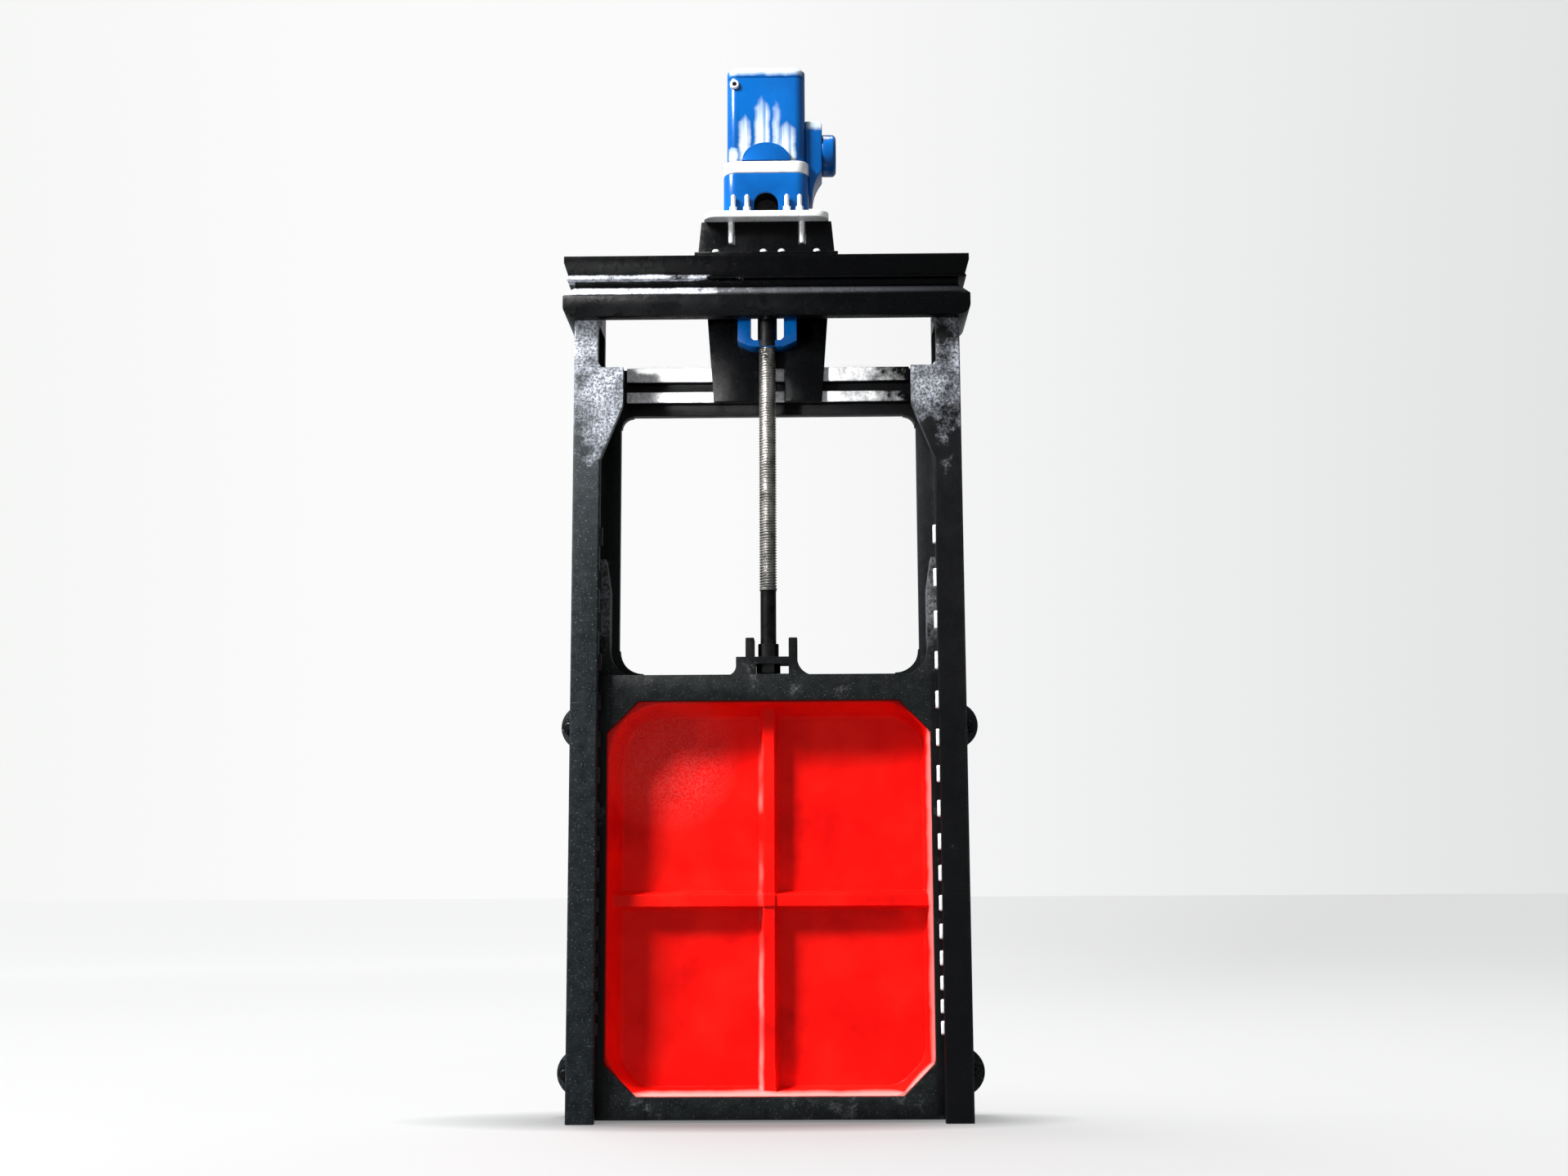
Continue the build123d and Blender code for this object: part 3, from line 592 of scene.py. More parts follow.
def bare_metal(name, colour, dark, roughness, brushed, metallic=1.0):
    """Machined metal with turning marks and dull stains. Roughness goes from the bright to the stained."""
    material, tree, shader, place = new_material(name)
    stain = noise_texture(tree, place, STAIN)
    marks = noise_texture(tree, place, MARKS, brushed)
    tree.links.new(ramp(tree, stain, list(zip(STAIN_STOPS, (dark, colour)))), shader.inputs["Base Color"])
    tree.links.new(span(tree, stain, MIDDLE_RANGE, roughness[::-1]), shader.inputs["Roughness"])
    set_socket(shader, {"Metallic": metallic})
    bumps(tree, shader, [(marks, *MARK_BUMP)])
    return material


BLACK = cast_paint(
    "cast black", dark=(0.005, 0.007, 0.008), light=(0.016, 0.02, 0.022), scuff_and_sheen=(0.42, 0.44, 0.49),
    scuff_and_sheen_span=(0.68, 0.98), pitting=0.1, gloss=(0.34, 0.6), shine=0.15, sheen_and_wear=top_scuffs_and_sheen, darkening=painted_rail_shade,
)
LEAF_BLACK = cast_paint(
    "leaf black", dark=(0.002, 0.003, 0.003), light=(0.008, 0.0095, 0.01), scuff_and_sheen=(0.12, 0.125, 0.13),
    scuff_and_sheen_span=(0.6, 0.76), pitting=0.08, gloss=(0.34, 0.6), shine=0.15, sheen_and_wear=ear_highlight_and_bar_scuffs, darkening=stile_shade_and_dark_lugs,
)
CROSSHEAD_BLACK = cast_paint(
    "crosshead black", dark=(0.0001, 0.0002, 0.0003), light=(0.0006, 0.0007, 0.001), scuff_and_sheen=(0.6, 0.62, 0.68),
    scuff_and_sheen_span=(0.74, 0.9), pitting=0.3, gloss=(0.2, 0.34), shine=0.1, sheen_and_wear=painted_moulding_highlight, highlight_line=painted_bead_highlight,
)
# Tie beam paint, whose pale colour paints sheen on the ribs
RIB_SHEEN_BLACK = cast_paint(
    "rib sheen black", dark=(0.0004, 0.0004, 0.0006), light=(0.0016, 0.0016, 0.002), scuff_and_sheen=(0.88, 0.88, 0.89),
    scuff_and_sheen_span=(0.68, 0.96), pitting=0.66, gloss=(0.28, 0.5), shine=0.15, sheen_and_wear=painted_rib_sheen,
)
RED = enamel(
    "leaf red", base=(0.83, 0.005, 0.003), deep=(0.56, 0.002, 0.002), pale=(0.92, 0.012, 0.007),
    roughness=(0.3, 0.5), streak_stretch=(1.0, 1.0, 0.16), chip_from=0.72, shine=0.04, coat=0.08,
    pale_mix=RED_PALE, painted_highlights=painted_rim_highlights, haze=hazy_corner,
)
BLUE = enamel(
    "actuator blue", base=(0.0, 0.073, 0.28), deep=(0.0, 0.056, 0.215), pale=(0.0, 0.09, 0.335),
    roughness=(0.16, 0.3), streak_stretch=(1.0, 1.0, 0.3), chip_from=0.74, shine=0.13, coat=0.18,
    pale_mix=BLUE_GLARE, painted_highlights=painted_glare,
)
# Darker copy of the actuator blue for the stem guide, painting the shade it stands in under the crosshead
SHADED_GUIDE_BLUE = enamel(
    "shaded guide blue", base=(0.0, 0.04, 0.16), deep=(0.0, 0.028, 0.11), pale=(0.0, 0.06, 0.23),
    roughness=(0.2, 0.34), streak_stretch=(1.0, 1.0, 0.3), chip_from=0.74, shine=0.13, coat=0.18,
)
PLATED = bare_metal(
    "plated steel", colour=(0.86, 0.86, 0.86), dark=(0.62, 0.62, 0.62), roughness=(0.22, 0.42),
    brushed=(1.0, 1.0, 30.0), metallic=0.3,
)
STEM_STEEL = bare_metal(
    "stem steel", colour=(0.36, 0.35, 0.33), dark=(0.05, 0.048, 0.045), roughness=(0.3, 0.62),
    brushed=(3.0, 3.0, 1.0),
)
SHANK_BLACK = bare_metal(
    "blackened shank", colour=(0.024, 0.024, 0.025), dark=(0.006, 0.006, 0.0065), roughness=(0.3, 0.5),
    brushed=(1.0, 1.0, 6.0),
)
DARK_STEEL = bare_metal(
    "dark steel", colour=(0.03, 0.03, 0.031), dark=(0.01, 0.01, 0.0105), roughness=(0.28, 0.5),
    brushed=(1.0, 1.0, 9.0),
)
BRONZE = bare_metal(
    "bronze", colour=(0.52, 0.33, 0.13), dark=(0.3, 0.19, 0.08), roughness=(0.28, 0.5),
    brushed=(9.0, 9.0, 1.0),
)


def paint(thing, material):
    """Gives every face of an object one material."""
    thing.data.materials.clear()
    thing.data.materials.append(material)
    for polygon in thing.data.polygons:
        polygon.material_index = 0


def new_piece(name, mesh, material, body):
    """Adds a piece that rides on a body and takes its finish from a slot."""
    piece = bpy.data.objects.new(name, mesh)
    bpy.context.scene.collection.objects.link(piece)
    paint(piece, material)
    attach(piece, body)
    return piece


def smooth_by_angle(mesh, degrees):
    """Smooth shading that stays sharp across edges steeper than an angle."""
    mesh.shade_smooth()
    mesh.set_sharp_from_angle(angle=math.radians(degrees))


# Eased edges: widths in metres and turns in degrees
FLAT_TURN = math.radians(0.6)
WELD = 1e-5
ROUND_PROFILE = 0.5
CASTING_EASE = 0.004
PLATE_EASE = 0.003
FINE_EASE = 0.002
CAP_EASE = 0.006
EDGE_TURN = 40
HOUSING_TURN = 20
MOULDING_TURN = 25
EDGE_CREASE = 35
MOULDING_CREASE = 24


def eased_mesh(node, width, segments, turn, crease):
    """Copy of a node's mesh with its flat facets joined and its sharp edges rounded."""
    work = bmesh.new()
    work.from_mesh(nodes[node].data)
    bmesh.ops.remove_doubles(work, verts=work.verts, dist=WELD)
    bmesh.ops.dissolve_limit(work, angle_limit=FLAT_TURN, verts=work.verts, edges=work.edges)
    edges = [e for e in work.edges if len(e.link_faces) == 2 and e.calc_face_angle() > math.radians(turn)]
    bmesh.ops.bevel(
        work, geom=edges, offset=width, offset_type="OFFSET", segments=segments, profile=ROUND_PROFILE,
        affect="EDGES", clamp_overlap=True, loop_slide=True,
    )
    bmesh.ops.triangulate(work, faces=work.faces)
    mesh = bpy.data.meshes.new(node + " eased")
    work.to_mesh(mesh)
    work.free()
    smooth_by_angle(mesh, crease)
    return mesh


def eased(node, material, body, width, segments=2, turn=EDGE_TURN, crease=EDGE_CREASE):
    """Piece with eased edges in place of a node."""
    mesh = eased_mesh(node, width, segments, turn, crease)
    piece = new_piece(node + "_eased", mesh, material, body)
    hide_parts(node)
    return piece


ARCH_HALF_WIDTH = 0.031
ARCH_MOUTH = 0.005


def darken_arch(piece):
    """Paints the inside of the arch in the gear housing's front in dark steel, as painted shade in the
    recess.
    """
    low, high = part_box("gear_housing")
    top = (low[2] + high[2]) / 2 + ARCH_HALF_WIDTH
    mouth = low[1] + ARCH_MOUTH
    piece.data.materials.append(DARK_STEEL)
    for polygon in piece.data.polygons:
        x, y, z = polygon.center
        if abs(x) < ARCH_HALF_WIDTH + FINE and z < top and mouth < y < STEM_Y:
            polygon.material_index = 1


for node in ("left_guide_rail", "right_guide_rail"):
    eased(node, BLACK, "frame", CASTING_EASE)
eased("tie_beam", RIB_SHEEN_BLACK, "frame", PLATE_EASE)
# The tie plates take the near-black crosshead paint, which paints the shade they hang in under the crosshead
for node in ("left_tie_plate", "right_tie_plate"):
    eased(node, CROSSHEAD_BLACK, "frame", PLATE_EASE)
eased(
    "crosshead", CROSSHEAD_BLACK, "frame", FINE_EASE,
    turn=MOULDING_TURN, crease=MOULDING_CREASE,
)
eased("pedestal", CROSSHEAD_BLACK, "frame", PLATE_EASE)
eased("leaf_frame", LEAF_BLACK, "leaf", CASTING_EASE)
eased("base_flange", PLATED, "frame", FINE_EASE)
eased("stem_guide", SHADED_GUIDE_BLUE, "frame", PLATE_EASE)

for node in ("sill_plate", "breast_plate", "left_port_jamb", "right_port_jamb"):
    paint(nodes[node], BLACK)
for node in ("seat_strip_bottom", "seat_strip_top", "seat_strip_left", "seat_strip_right", "drive_nut"):
    paint(nodes[node], BRONZE)
for node in ("upper_housing", "side_housing", "side_cap"):
    eased(node, BLUE, "frame", PLATE_EASE, segments=3, turn=HOUSING_TURN)
eased("top_cap", BLUE, "frame", CAP_EASE, segments=4, turn=HOUSING_TURN)
gear_housing = eased(
    "gear_housing", BLUE, "frame", PLATE_EASE, segments=3, turn=HOUSING_TURN
)
eased("joint_ring", PLATED, "frame", CASTING_EASE, segments=3)
darken_arch(gear_housing)
for node in ("guide_bush", "stem_nut", "stem_collar"):
    paint(nodes[node], DARK_STEEL)


def soft_least(a, b, blend):
    """Smaller of two values with a round joint of a given size."""
    share = max(blend - abs(a - b), 0.0) / blend
    return min(a, b) - share * share * blend / 4


def soft_most(a, b, blend):
    """Larger of two values with a round joint of a given size."""
    return -soft_least(-a, -b, blend)


tray_half = PANEL_HIGH[0]
tray_bottom = PANEL_LOW[2]
tray_top = PANEL_HIGH[2]
tray_front = PANEL_LOW[1]
tray_back = PANEL_HIGH[1]
tray_depth = (tray_back - TRAY_THICKNESS) - tray_front
tray_crest = tray_depth - TRAY_RIB_HEIGHT
tray_cross = (tray_bottom + tray_top) / 2 - TRAY_CROSS_DROP


def tray_inset(x, z):
    """Distance inside the tray's cut-cornered outline, with the corners rounded.

    It grows faster at the right and the bottom, whose walls are steeper.
    """
    across = min(tray_half + x, (tray_half - x) * TRAY_STEEPER)
    along = min((z - tray_bottom) * TRAY_STEEPER, tray_top - z)
    corner = (tray_half - abs(x) + min(z - tray_bottom, tray_top - z) - TRAY_CUT) / math.sqrt(2)
    if x > 0 or z < tray_cross:
        corner *= TRAY_STEEPER
    return soft_least(soft_least(across, along, TRAY_CORNER_BLEND), corner, TRAY_CORNER_BLEND)


def tray_sink(x, z):
    """How far the tray's face lies behind its rim."""
    wall = (tray_inset(x, z) - TRAY_RIM) / TRAY_DRAFT * tray_depth
    sink = soft_least(soft_most(wall, 0.0, TRAY_EDGE_BLEND), tray_depth, TRAY_FLOOR_BLEND)
    for offset in (x, z - tray_cross):
        flank = tray_crest + (abs(offset) - TRAY_RIB_HALF) / TRAY_RIB_DRAFT * TRAY_RIB_HEIGHT
        rib = soft_most(flank, tray_crest, TRAY_EDGE_BLEND)
        sink = soft_least(sink, rib, TRAY_RIB_BLEND)
    for scale, share, layer in TRAY_RIPPLES:
        sink += TRAY_RIPPLE * share * noise.noise(Vector((x * scale, z * scale, layer)))
    return max(sink, 0.0)


def graded(low, high, dense, coarse_step, fine_step):
    """Values from low to high with small steps inside the dense spans."""
    values = [low]
    while values[-1] < high - fine_step / 2:
        place = values[-1]
        near = any(a - coarse_step <= place <= b for a, b in dense)
        values.append(min(place + (fine_step if near else coarse_step), high))
    return values


def tray_grid():
    """Columns and rows of the tray's face, closer together at its walls and ribs."""
    wall = TRAY_RIM + TRAY_DRAFT + TRAY_WALL_MARGIN
    rib = TRAY_RIB_HALF + TRAY_RIB_DRAFT + TRAY_RIB_MARGIN
    grids = []
    for low, high, cross in ((-tray_half, tray_half, 0.0), (tray_bottom, tray_top, tray_cross)):
        dense = [(low, low + wall), (cross - rib, cross + rib), (high - wall, high)]
        grids.append(graded(low, high, dense, TRAY_STEP, TRAY_FINE_STEP))
    return grids


def make_tray():
    """Red panel as one moulded face with a flat back."""
    columns, rows = tray_grid()
    vertices = []
    for z in rows:
        cut = max(TRAY_CUT - (z - tray_bottom), TRAY_CUT - (tray_top - z), 0.0)
        for column in columns:
            x = column * (tray_half - cut) / tray_half
            vertices.append((x, tray_front + tray_sink(x, z), z))
    across = len(columns)
    faces = []
    for j in range(len(rows) - 1):
        for i in range(across - 1):
            start = j * across + i
            faces.append((start, start + 1, start + across + 1, start + across))
    last = (len(rows) - 1) * across
    border = list(range(across))
    border += [j * across + across - 1 for j in range(1, len(rows))]
    border += [last + i for i in range(across - 2, -1, -1)]
    border += [j * across for j in range(len(rows) - 2, 0, -1)]
    back = len(vertices)
    for index in border:
        x, _, z = vertices[index]
        vertices.append((x, tray_back, z))
    for k in range(len(border)):
        following = (k + 1) % len(border)
        faces.append((border[following], border[k], back + k, back + following))
    faces.append(tuple(back + k for k in range(len(border)))[::-1])
    mesh = bpy.data.meshes.new("leaf tray")
    mesh.from_pydata(vertices, [], faces)
    work = bmesh.new()
    work.from_mesh(mesh)
    bmesh.ops.recalc_face_normals(work, faces=work.faces)
    work.to_mesh(mesh)
    work.free()
    smooth_by_angle(mesh, TRAY_CREASE)
    tray = new_piece("leaf_tray", mesh, RED, "leaf")
    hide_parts("leaf_panel")


make_tray()

# Thread of the stem: its crest and flank are in pitches
THREAD_PITCH = 0.007
THREAD_DEPTH = 0.0032
THREAD_HALF_CREST = 0.14
THREAD_FLANK = 0.2
THREAD_START = 1.300
THREAD_FADE = 0.012
THREAD_ROWS_PER_TURN = 7
STEM_SIDES = 30
STEM_CHAMFER = 0.004
SHANK_RADIUS = 0.020
TURNED_CREASE = 40
stem_radius = (STEM_HIGH[0] - STEM_LOW[0]) / 2


def thread_radius(z, angle):
    """Radius of a trapezoidal thread that fades in above the plain shank."""
    phase = (z / THREAD_PITCH - angle / (2 * math.pi)) % 1.0
    groove = min(max((abs(phase - 0.5) - THREAD_HALF_CREST) / THREAD_FLANK, 0.0), 1.0)
    fade = min(max((z - THREAD_START) / THREAD_FADE, 0.0), 1.0)
    return stem_radius - THREAD_DEPTH * groove * fade


def lathe_grid(name, heights, radius_at):
    """Closed upright body on the stem's axis, from a radius for each height and angle."""
    vertices = []
    for z in heights:
        for side in range(STEM_SIDES):
            angle = 2 * math.pi * side / STEM_SIDES
            radius = radius_at(z, angle)
            vertices.append((radius * math.cos(angle), STEM_Y + radius * math.sin(angle), z))
    faces = []
    for j in range(len(heights) - 1):
        for side in range(STEM_SIDES):
            following = (side + 1) % STEM_SIDES
            a = j * STEM_SIDES
            b = a + STEM_SIDES
            faces.append((a + side, a + following, b + following, b + side))
    faces.append(tuple(range(STEM_SIDES))[::-1])
    top = (len(heights) - 1) * STEM_SIDES
    faces.append(tuple(top + side for side in range(STEM_SIDES)))
    mesh = bpy.data.meshes.new(name)
    mesh.from_pydata(vertices, [], faces)
    smooth_by_angle(mesh, TURNED_CREASE)
    return mesh


def make_stem():
    """Plain shank below and threaded rod above, as two pieces that meet at the runout."""
    shank = lathe_grid("stem shank", [STEM_LOW[2], THREAD_START], lambda z, angle: SHANK_RADIUS)
    new_piece("stem_shank", shank, SHANK_BLACK, "leaf")
    step = THREAD_PITCH / THREAD_ROWS_PER_TURN
    count = int((STEM_HIGH[2] - STEM_CHAMFER - THREAD_START) / step)
    heights = [THREAD_START + step * k for k in range(count + 1)]
    heights.append(STEM_HIGH[2])

    def radius_at(z, angle):
        if z > STEM_HIGH[2] - STEM_CHAMFER / 2:
            return stem_radius - STEM_CHAMFER
        return thread_radius(z, angle)

    thread = lathe_grid("stem thread", heights, radius_at)
    thread_piece = new_piece("stem_thread", thread, STEM_STEEL, "leaf")
    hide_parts("stem")


make_stem()

# Sides of small turned pieces
HEX_SIDES = 6
ROD_SIDES = 16
HEAD_SIDES = 20


def add_ring(work, radius, height, sides):
    """Ring of corners about the Z axis of a bmesh."""
    ring = []
    for side in range(sides):
        angle = 2 * math.pi * side / sides
        ring.append(work.verts.new((radius * math.cos(angle), radius * math.sin(angle), height)))
    return ring


def join_rings(work, rings):
    """Faces between each ring and the next."""
    for lower, upper in zip(rings, rings[1:]):
        count = len(lower)
        for k in range(count):
            following = (k + 1) % count
            work.faces.new((lower[k], lower[following], upper[following], upper[k]))


def add_turned(target, profile, sides, matrix):
    """Adds a closed turned body, from (radius, height) pairs, to a bmesh at a place."""
    work = bmesh.new()
    rings = [add_ring(work, radius, height, sides) for radius, height in profile]
    join_rings(work, rings)
    work.faces.new(rings[0][::-1])
    work.faces.new(rings[-1])
    bmesh.ops.transform(work, matrix=matrix, verts=work.verts)
    mesh = bpy.data.meshes.new("turned")
    work.to_mesh(mesh)
    work.free()
    target.from_mesh(mesh)
    bpy.data.meshes.remove(mesh)


def finish_group(name, work, material, body):
    """Turns a bmesh into one piece."""
    mesh = bpy.data.meshes.new(name)
    work.to_mesh(mesh)
    work.free()
    smooth_by_angle(mesh, TURNED_CREASE)
    new_piece(name, mesh, material, body)


# Boss of the guide bush, proud of the stem guide's floor
BOSS_BORE = 0.026
BOSS_RADIUS = 0.034
BOSS_INSET = 0.001


def make_bush_boss():
    """Dark ring round the stem at the level of the stem guide's floor."""
    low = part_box("stem_guide")[0][2] + BOSS_INSET
    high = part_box("guide_bush")[0][2] - BOSS_INSET
    boss = bmesh.new()
    section = ((BOSS_BORE, low), (BOSS_RADIUS, low), (BOSS_RADIUS, high), (BOSS_BORE, high))
    rings = [add_ring(boss, radius, z, STEM_SIDES) for radius, z in section]
    join_rings(boss, rings + rings[:1])
    bmesh.ops.transform(boss, matrix=Matrix.Translation((0, STEM_Y, 0)), verts=boss.verts)
    bmesh.ops.recalc_face_normals(boss, faces=boss.faces)
    finish_group("guide_bush_boss", boss, DARK_STEEL, "frame")


make_bush_boss()

# Studs round the gear housing, standing on the base flange
STUD_RADIUS = 0.006
STUD_RISE = 0.046
STUD_TIP = 0.004
STUD_NUT_RADIUS = 0.0095
STUD_NUT_RISE = 0.013
STUD_PLACES = (
    (-0.049, -0.0982), (0.053, -0.0982), (-0.084, -0.0975), (0.086, -0.0975),
    (-0.084, 0.0975), (0.086, 0.0975), (-0.1215, 0.028), (0.1215, 0.028),
)


def make_studs():
    flange_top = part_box("base_flange")[1][2]
    studs = bmesh.new()
    nut = [(STUD_NUT_RADIUS, 0), (STUD_NUT_RADIUS, STUD_NUT_RISE)]
    shank = [
        (STUD_RADIUS, STUD_NUT_RISE),
        (STUD_RADIUS, STUD_RISE - STUD_TIP),
        (STUD_RADIUS - STUD_TIP, STUD_RISE),
    ]
    for x, y in STUD_PLACES:
        place = Matrix.Translation((x, STEM_Y + y, flange_top))
        add_turned(studs, nut, HEX_SIDES, place)
        add_turned(studs, shank, ROD_SIDES, place)
    finish_group("flange_studs", studs, PLATED, "frame")


make_studs()

# Round-headed bolts in the front of the pedestal's foot, domed at shares of a quarter turn
FOOT_BOLT_X = (-0.129, -0.007, 0.039, 0.129)
FOOT_BOLT_RADIUS = 0.0095
FOOT_BOLT_SKIRT = 0.0027
FOOT_BOLT_DOME = 0.0063
FOOT_BOLT_TURNS = (0.25, 0.5, 0.75, 0.93)
FOOT_BOLT_INSET = 0.0105
FOOT_THICKNESS = 0.012


def make_foot_bolts():
    low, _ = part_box("pedestal")
    bolts = bmesh.new()
    head = [(FOOT_BOLT_RADIUS, 0), (FOOT_BOLT_RADIUS, FOOT_BOLT_SKIRT)]
    for share in FOOT_BOLT_TURNS:
        turn = share * math.pi / 2
        head.append((FOOT_BOLT_RADIUS * math.cos(turn), FOOT_BOLT_SKIRT + FOOT_BOLT_DOME * math.sin(turn)))
    for x in FOOT_BOLT_X:
        place = Matrix.Translation((x, low[1] + FOOT_BOLT_INSET, low[2] + FOOT_THICKNESS))
        add_turned(bolts, head, HEAD_SIDES, place)
    finish_group("foot_bolts", bolts, PLATED, "frame")


make_foot_bolts()

# Bolts that hang in the slots of the pedestal under the base flange
SLOT_BOLT_X = (-0.091, 0.091)
SLOT_BOLT_RADIUS = 0.0075
SLOT_BOLT_CHAMFER = 0.001875
SLOT_BOLT_LENGTH = 0.058
SLOT_BOLT_INSET = 0.012
PEDESTAL_FRONT = 0.080


def make_slot_bolts():
    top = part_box("pedestal")[1][2]
    bolts = bmesh.new()
    shank = [
        (SLOT_BOLT_RADIUS - SLOT_BOLT_CHAMFER, 0),
        (SLOT_BOLT_RADIUS, SLOT_BOLT_CHAMFER),
        (SLOT_BOLT_RADIUS, SLOT_BOLT_LENGTH),
    ]
    for x in SLOT_BOLT_X:
        place = Matrix.Translation((x, STEM_Y - PEDESTAL_FRONT + SLOT_BOLT_INSET, top - SLOT_BOLT_LENGTH))
        add_turned(bolts, shank, ROD_SIDES, place)
    finish_group("slot_bolts", bolts, PLATED, "frame")


make_slot_bolts()

# Studs and nuts in the anchor holes of the rails' ears
ANCHOR_RADIUS = 0.0105
ANCHOR_NUT_RADIUS = 0.0165
ANCHOR_NUT_RISE = 0.015
ANCHOR_TIP = 0.003
ANCHOR_RISE = 0.024
EAR_THICKNESS = 0.030
MILLIMETRE = 0.001
OUTWARD = Matrix.Rotation(math.pi / 2, 4, "X")


def make_anchors():
    pattern = [mount for mount in frame["record"]["mounts"] if mount["name"] == "anchor_bolts"][0]
    middle = pattern["pos_m"]
    half_x = pattern["dims"]["spacing_x_mm"] * MILLIMETRE / 2
    half_z = pattern["dims"]["spacing_y_mm"] * MILLIMETRE / 2
    anchors = bmesh.new()
    end = EAR_THICKNESS + ANCHOR_RISE
    stud = [(ANCHOR_RADIUS, 0), (ANCHOR_RADIUS, end - ANCHOR_TIP), (ANCHOR_RADIUS - ANCHOR_TIP, end)]
    nut = [(ANCHOR_NUT_RADIUS, EAR_THICKNESS), (ANCHOR_NUT_RADIUS, EAR_THICKNESS + ANCHOR_NUT_RISE)]
    for x in (-half_x, half_x):
        for z in (-half_z, half_z):
            place = Matrix.Translation((middle[0] + x, middle[1], middle[2] + z)) @ OUTWARD
            add_turned(anchors, stud, HEAD_SIDES, place)
            add_turned(anchors, nut, HEX_SIDES, place)
    finish_group("anchor_studs", anchors, DARK_STEEL, "frame")


make_anchors()

# Small plug at the upper left of the actuator's front
PLUG_X = -0.081
PLUG_DROP = 0.050
PLUG_RADIUS = 0.012
PLUG_RIM_RADIUS = 0.0096
PLUG_RIM_DROP = 0.0028
PLUG_LENGTH = 0.014
PLUG_SUNK = 0.007
PLUG_BORE = 0.006
PLUG_SOCKET_DEPTH = 0.004
PLUG_SOCKET_DROP = 0.001
UPPER_FRONT = 0.080


def make_plug():
    """Plug with a dark socket, half sunk in the housing."""
    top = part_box("top_cap")[1][2]
    place = Matrix.Translation((PLUG_X, STEM_Y - UPPER_FRONT + PLUG_SUNK, top - PLUG_DROP)) @ OUTWARD
    socket_floor = PLUG_LENGTH - PLUG_SOCKET_DEPTH
    plug = bmesh.new()
    add_turned(plug, [
        (PLUG_RADIUS, 0), (PLUG_RADIUS, PLUG_LENGTH - PLUG_RIM_DROP), (PLUG_RIM_RADIUS, PLUG_LENGTH),
        (PLUG_BORE, PLUG_LENGTH), (PLUG_BORE, socket_floor),
    ], HEAD_SIDES, place)
    finish_group("cap_plug", plug, PLATED, "frame")
    socket = bmesh.new()
    core = [(PLUG_BORE, socket_floor), (PLUG_BORE, PLUG_LENGTH - PLUG_SOCKET_DROP)]
    add_turned(socket, core, HEX_SIDES, place)
    finish_group("plug_socket", socket, DARK_STEEL, "frame")


make_plug()

# Keeper pads along the inner edges of the rails' front lips, closer together towards the foot
PAD_COUNT = 16
PAD_TOP = 1.4310
PAD_STEP = -0.11253
PAD_STEP_CHANGE = 0.00213
PAD_HALF_LENGTH = (0.019, 0.011)
PAD_SIDES = 8
# A pad's section, as rise above the lip's edge and radius
PAD_SECTION = ((-0.001, 0.0055), (0.00455, 0.0055), (0.007, 0.003575))
LIP_THICKNESS = 0.026
LIP_WIDTH = 0.069
LIP_PAST_SILL = 0.105
lip_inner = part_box("sill_plate")[1][0] + LIP_PAST_SILL - LIP_WIDTH
lip_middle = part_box("right_guide_rail")[0][1] + LIP_THICKNESS / 2


def capsule_ring(half_length, radius):
    """Outline of a bar with round ends, along Z, as (across, along) pairs."""
    points = []
    for end in (1, -1):
        for k in range(PAD_SIDES + 1):
            angle = math.pi * k / PAD_SIDES
            points.append((end * radius * math.cos(angle), end * (half_length + radius * math.sin(angle))))
    return points


def add_pad(work, side, z, half_length):
    """Bar with round ends and an eased face, standing on the lip's inner edge."""
    rings = []
    for rise, radius in PAD_SECTION:
        ring = []
        for across, along in capsule_ring(half_length, radius):
            ring.append(work.verts.new((side * (lip_inner - rise), lip_middle + across, z + along)))
        rings.append(ring)
    join_rings(work, rings)
    work.faces.new(rings[0])
    work.faces.new(rings[-1])


def make_keeper_pads():
    """Bright pads on the right rail and dark ones on the left, whose darker finish is painted shade."""
    for side, name, material, slot in (
        (-1, "left", DARK_STEEL, "dark_steel"),
        (1, "right", PLATED, "plated_steel"),
    ):
        pads = bmesh.new()
        for k in range(PAD_COUNT):
            z = PAD_TOP + PAD_STEP * k + PAD_STEP_CHANGE * k * k
            share = k / (PAD_COUNT - 1)
            half_length = PAD_HALF_LENGTH[0] + (PAD_HALF_LENGTH[1] - PAD_HALF_LENGTH[0]) * share
            add_pad(pads, side, z, half_length)
        bmesh.ops.recalc_face_normals(pads, faces=pads.faces)
        finish_group(name + "_keeper_pads", pads, material, "frame")


make_keeper_pads()


def make_camera():
    data = bpy.data.cameras.new("camera")
    data.sensor_fit = "HORIZONTAL"
    data.sensor_width = SENSOR_WIDTH
    data.lens = SENSOR_WIDTH * FOCAL_PIXELS / PHOTO_WIDTH
    camera = bpy.data.objects.new("camera", data)
    forward = Vector((
        -math.sin(CAMERA_YAW) * math.cos(CAMERA_PITCH),
        math.cos(CAMERA_YAW) * math.cos(CAMERA_PITCH),
        math.sin(CAMERA_PITCH),
    ))
    level_right = Vector((math.cos(CAMERA_YAW), math.sin(CAMERA_YAW), 0))
    level_up = level_right.cross(forward)
    right = level_right * math.cos(CAMERA_ROLL) + level_up * math.sin(CAMERA_ROLL)
    up = level_up * math.cos(CAMERA_ROLL) - level_right * math.sin(CAMERA_ROLL)
    turn = Matrix((right, up, -forward)).transposed().to_4x4()
    camera.matrix_world = Matrix.Translation(CAMERA_PLACE) @ turn
    bpy.context.scene.collection.objects.link(camera)
    bpy.context.scene.camera = camera


make_camera()


def make_light(name, place, target, size, power):
    data = bpy.data.lights.new(name, "AREA")
    data.shape = "RECTANGLE"
    data.size, data.size_y = size
    data.energy = power
    light = bpy.data.objects.new(name, data)
    light.location = place
    direction = Vector(target) - Vector(place)
    light.rotation_euler = direction.to_track_quat("-Z", "Y").to_euler()
    bpy.context.scene.collection.objects.link(light)
    return light


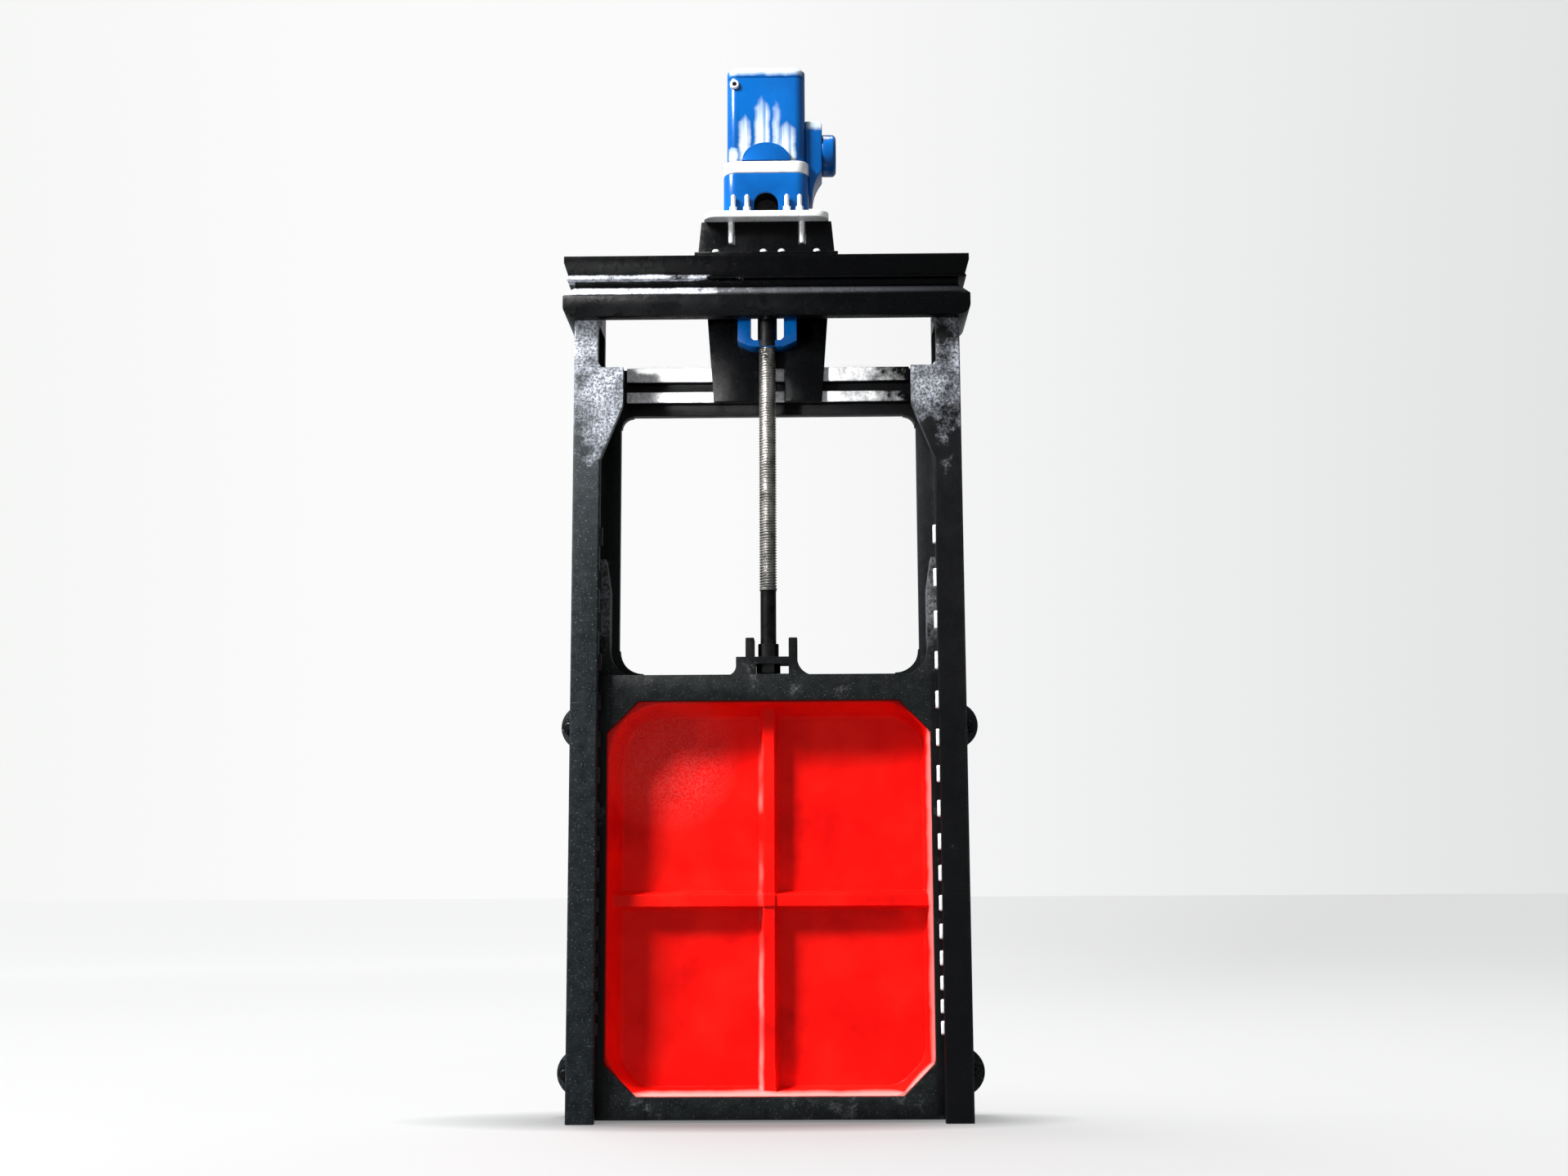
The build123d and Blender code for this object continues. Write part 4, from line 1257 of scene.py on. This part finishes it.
def make_world(scene):
    """White surroundings for the camera, a little greyer to the right, and a weaker fill for the rest."""
    world = bpy.data.worlds.new("studio")
    scene.world = world
    world.use_nodes = True
    tree = world.node_tree
    seen = tree.nodes["Background"]
    direction = tree.nodes.new("ShaderNodeTexCoord").outputs["Generated"]
    sideways = span(tree, axis_values(tree, direction)[0], WALL_SPAN, (0, 1))
    tree.links.new(ramp(tree, sideways, WALL_SHADES), seen.inputs["Color"])
    fill = tree.nodes.new("ShaderNodeBackground")
    set_socket(fill, {"Color": FILL_COLOUR, "Strength": FILL_STRENGTH})
    rays = tree.nodes.new("ShaderNodeLightPath")
    either = tree.nodes.new("ShaderNodeMixShader")
    tree.links.new(rays.outputs["Is Camera Ray"], either.inputs["Fac"])
    tree.links.new(fill.outputs["Background"], either.inputs[1])
    tree.links.new(seen.outputs["Background"], either.inputs[2])
    tree.links.new(either.outputs["Shader"], tree.nodes["World Output"].inputs["Surface"])


def floor_glow(tree, place):
    """Glow that grows with distance, less so to the right, with a soft shade at the gate's foot."""
    length = tree.nodes.new("ShaderNodeVectorMath")
    length.operation = "LENGTH"
    tree.links.new(place, length.inputs[0])
    distance = length.outputs["Value"]
    x, y, _ = axis_values(tree, place)
    sideways = combined(tree, "DIVIDE", x, combined(tree, "ADD", distance, FLOOR_DIM_OFFSET))
    right = span(tree, sideways, FLOOR_DIM_SPAN, (0, 1))
    dimmed = product(tree, right, span(tree, distance, FLOOR_GLOW_REACH, (0, FLOOR_DIMMING)))
    squares = off_middle(tree, (x, y), FOOT_SHADE_MIDDLE, FOOT_SHADE_REACH)
    return product(
        tree,
        span(tree, distance, FLOOR_GLOW_REACH, FLOOR_GLOW),
        combined(tree, "SUBTRACT", 1, dimmed),
        span(tree, squares, FOOT_SHADE_SPAN, (FOOT_SHADE_GLOW, 1)),
    )


def make_floor(scene):
    """Pale floor that glows a little and throws no light back on the gate."""
    mesh = bpy.data.meshes.new("floor")
    corners = [(-FLOOR_REACH, -FLOOR_REACH, 0), (FLOOR_REACH, -FLOOR_REACH, 0)]
    corners += [(FLOOR_REACH, FLOOR_REACH, 0), (-FLOOR_REACH, FLOOR_REACH, 0)]
    mesh.from_pydata(corners, [], [(0, 1, 2, 3)])
    floor = bpy.data.objects.new("floor", mesh)
    scene.collection.objects.link(floor)
    material, tree, shader, place = new_material("pale floor")
    tree.links.new(floor_glow(tree, place), shader.inputs["Emission Strength"])
    set_socket(shader, {
        "Base Color": FLOOR_COLOUR,
        "Roughness": FLOOR_ROUGHNESS,
        "Specular IOR Level": 0.0,
        "Emission Color": (1, 1, 1, 1),
    })
    floor.data.materials.append(material)
    floor.visible_diffuse = False
    floor.visible_glossy = False
    return floor


def make_stage():
    """Studio: surroundings, floor, a key from the upper left, a soft top light and two small lights."""
    scene = bpy.context.scene
    scene.view_settings.view_transform = "Standard"
    make_world(scene)
    floor = make_floor(scene)
    key = make_light("key", KEY_PLACE, KEY_TARGET, KEY_SIZE, KEY_POWER)
    spared = bpy.data.collections.new("not lit by the key")
    spared.objects.link(floor)
    key.light_linking.receiver_collection = spared
    spared.collection_objects[0].light_linking.link_state = "EXCLUDE"
    make_light("top", TOP_PLACE, TOP_TARGET, TOP_SIZE, TOP_POWER)
    side = make_light("side", SIDE_PLACE, SIDE_TARGET, SIDE_SIZE, SIDE_POWER)
    side.data.spread = SIDE_SPREAD
    make_light("edge", EDGE_PLACE, EDGE_TARGET, EDGE_SIZE, EDGE_POWER)


make_stage()
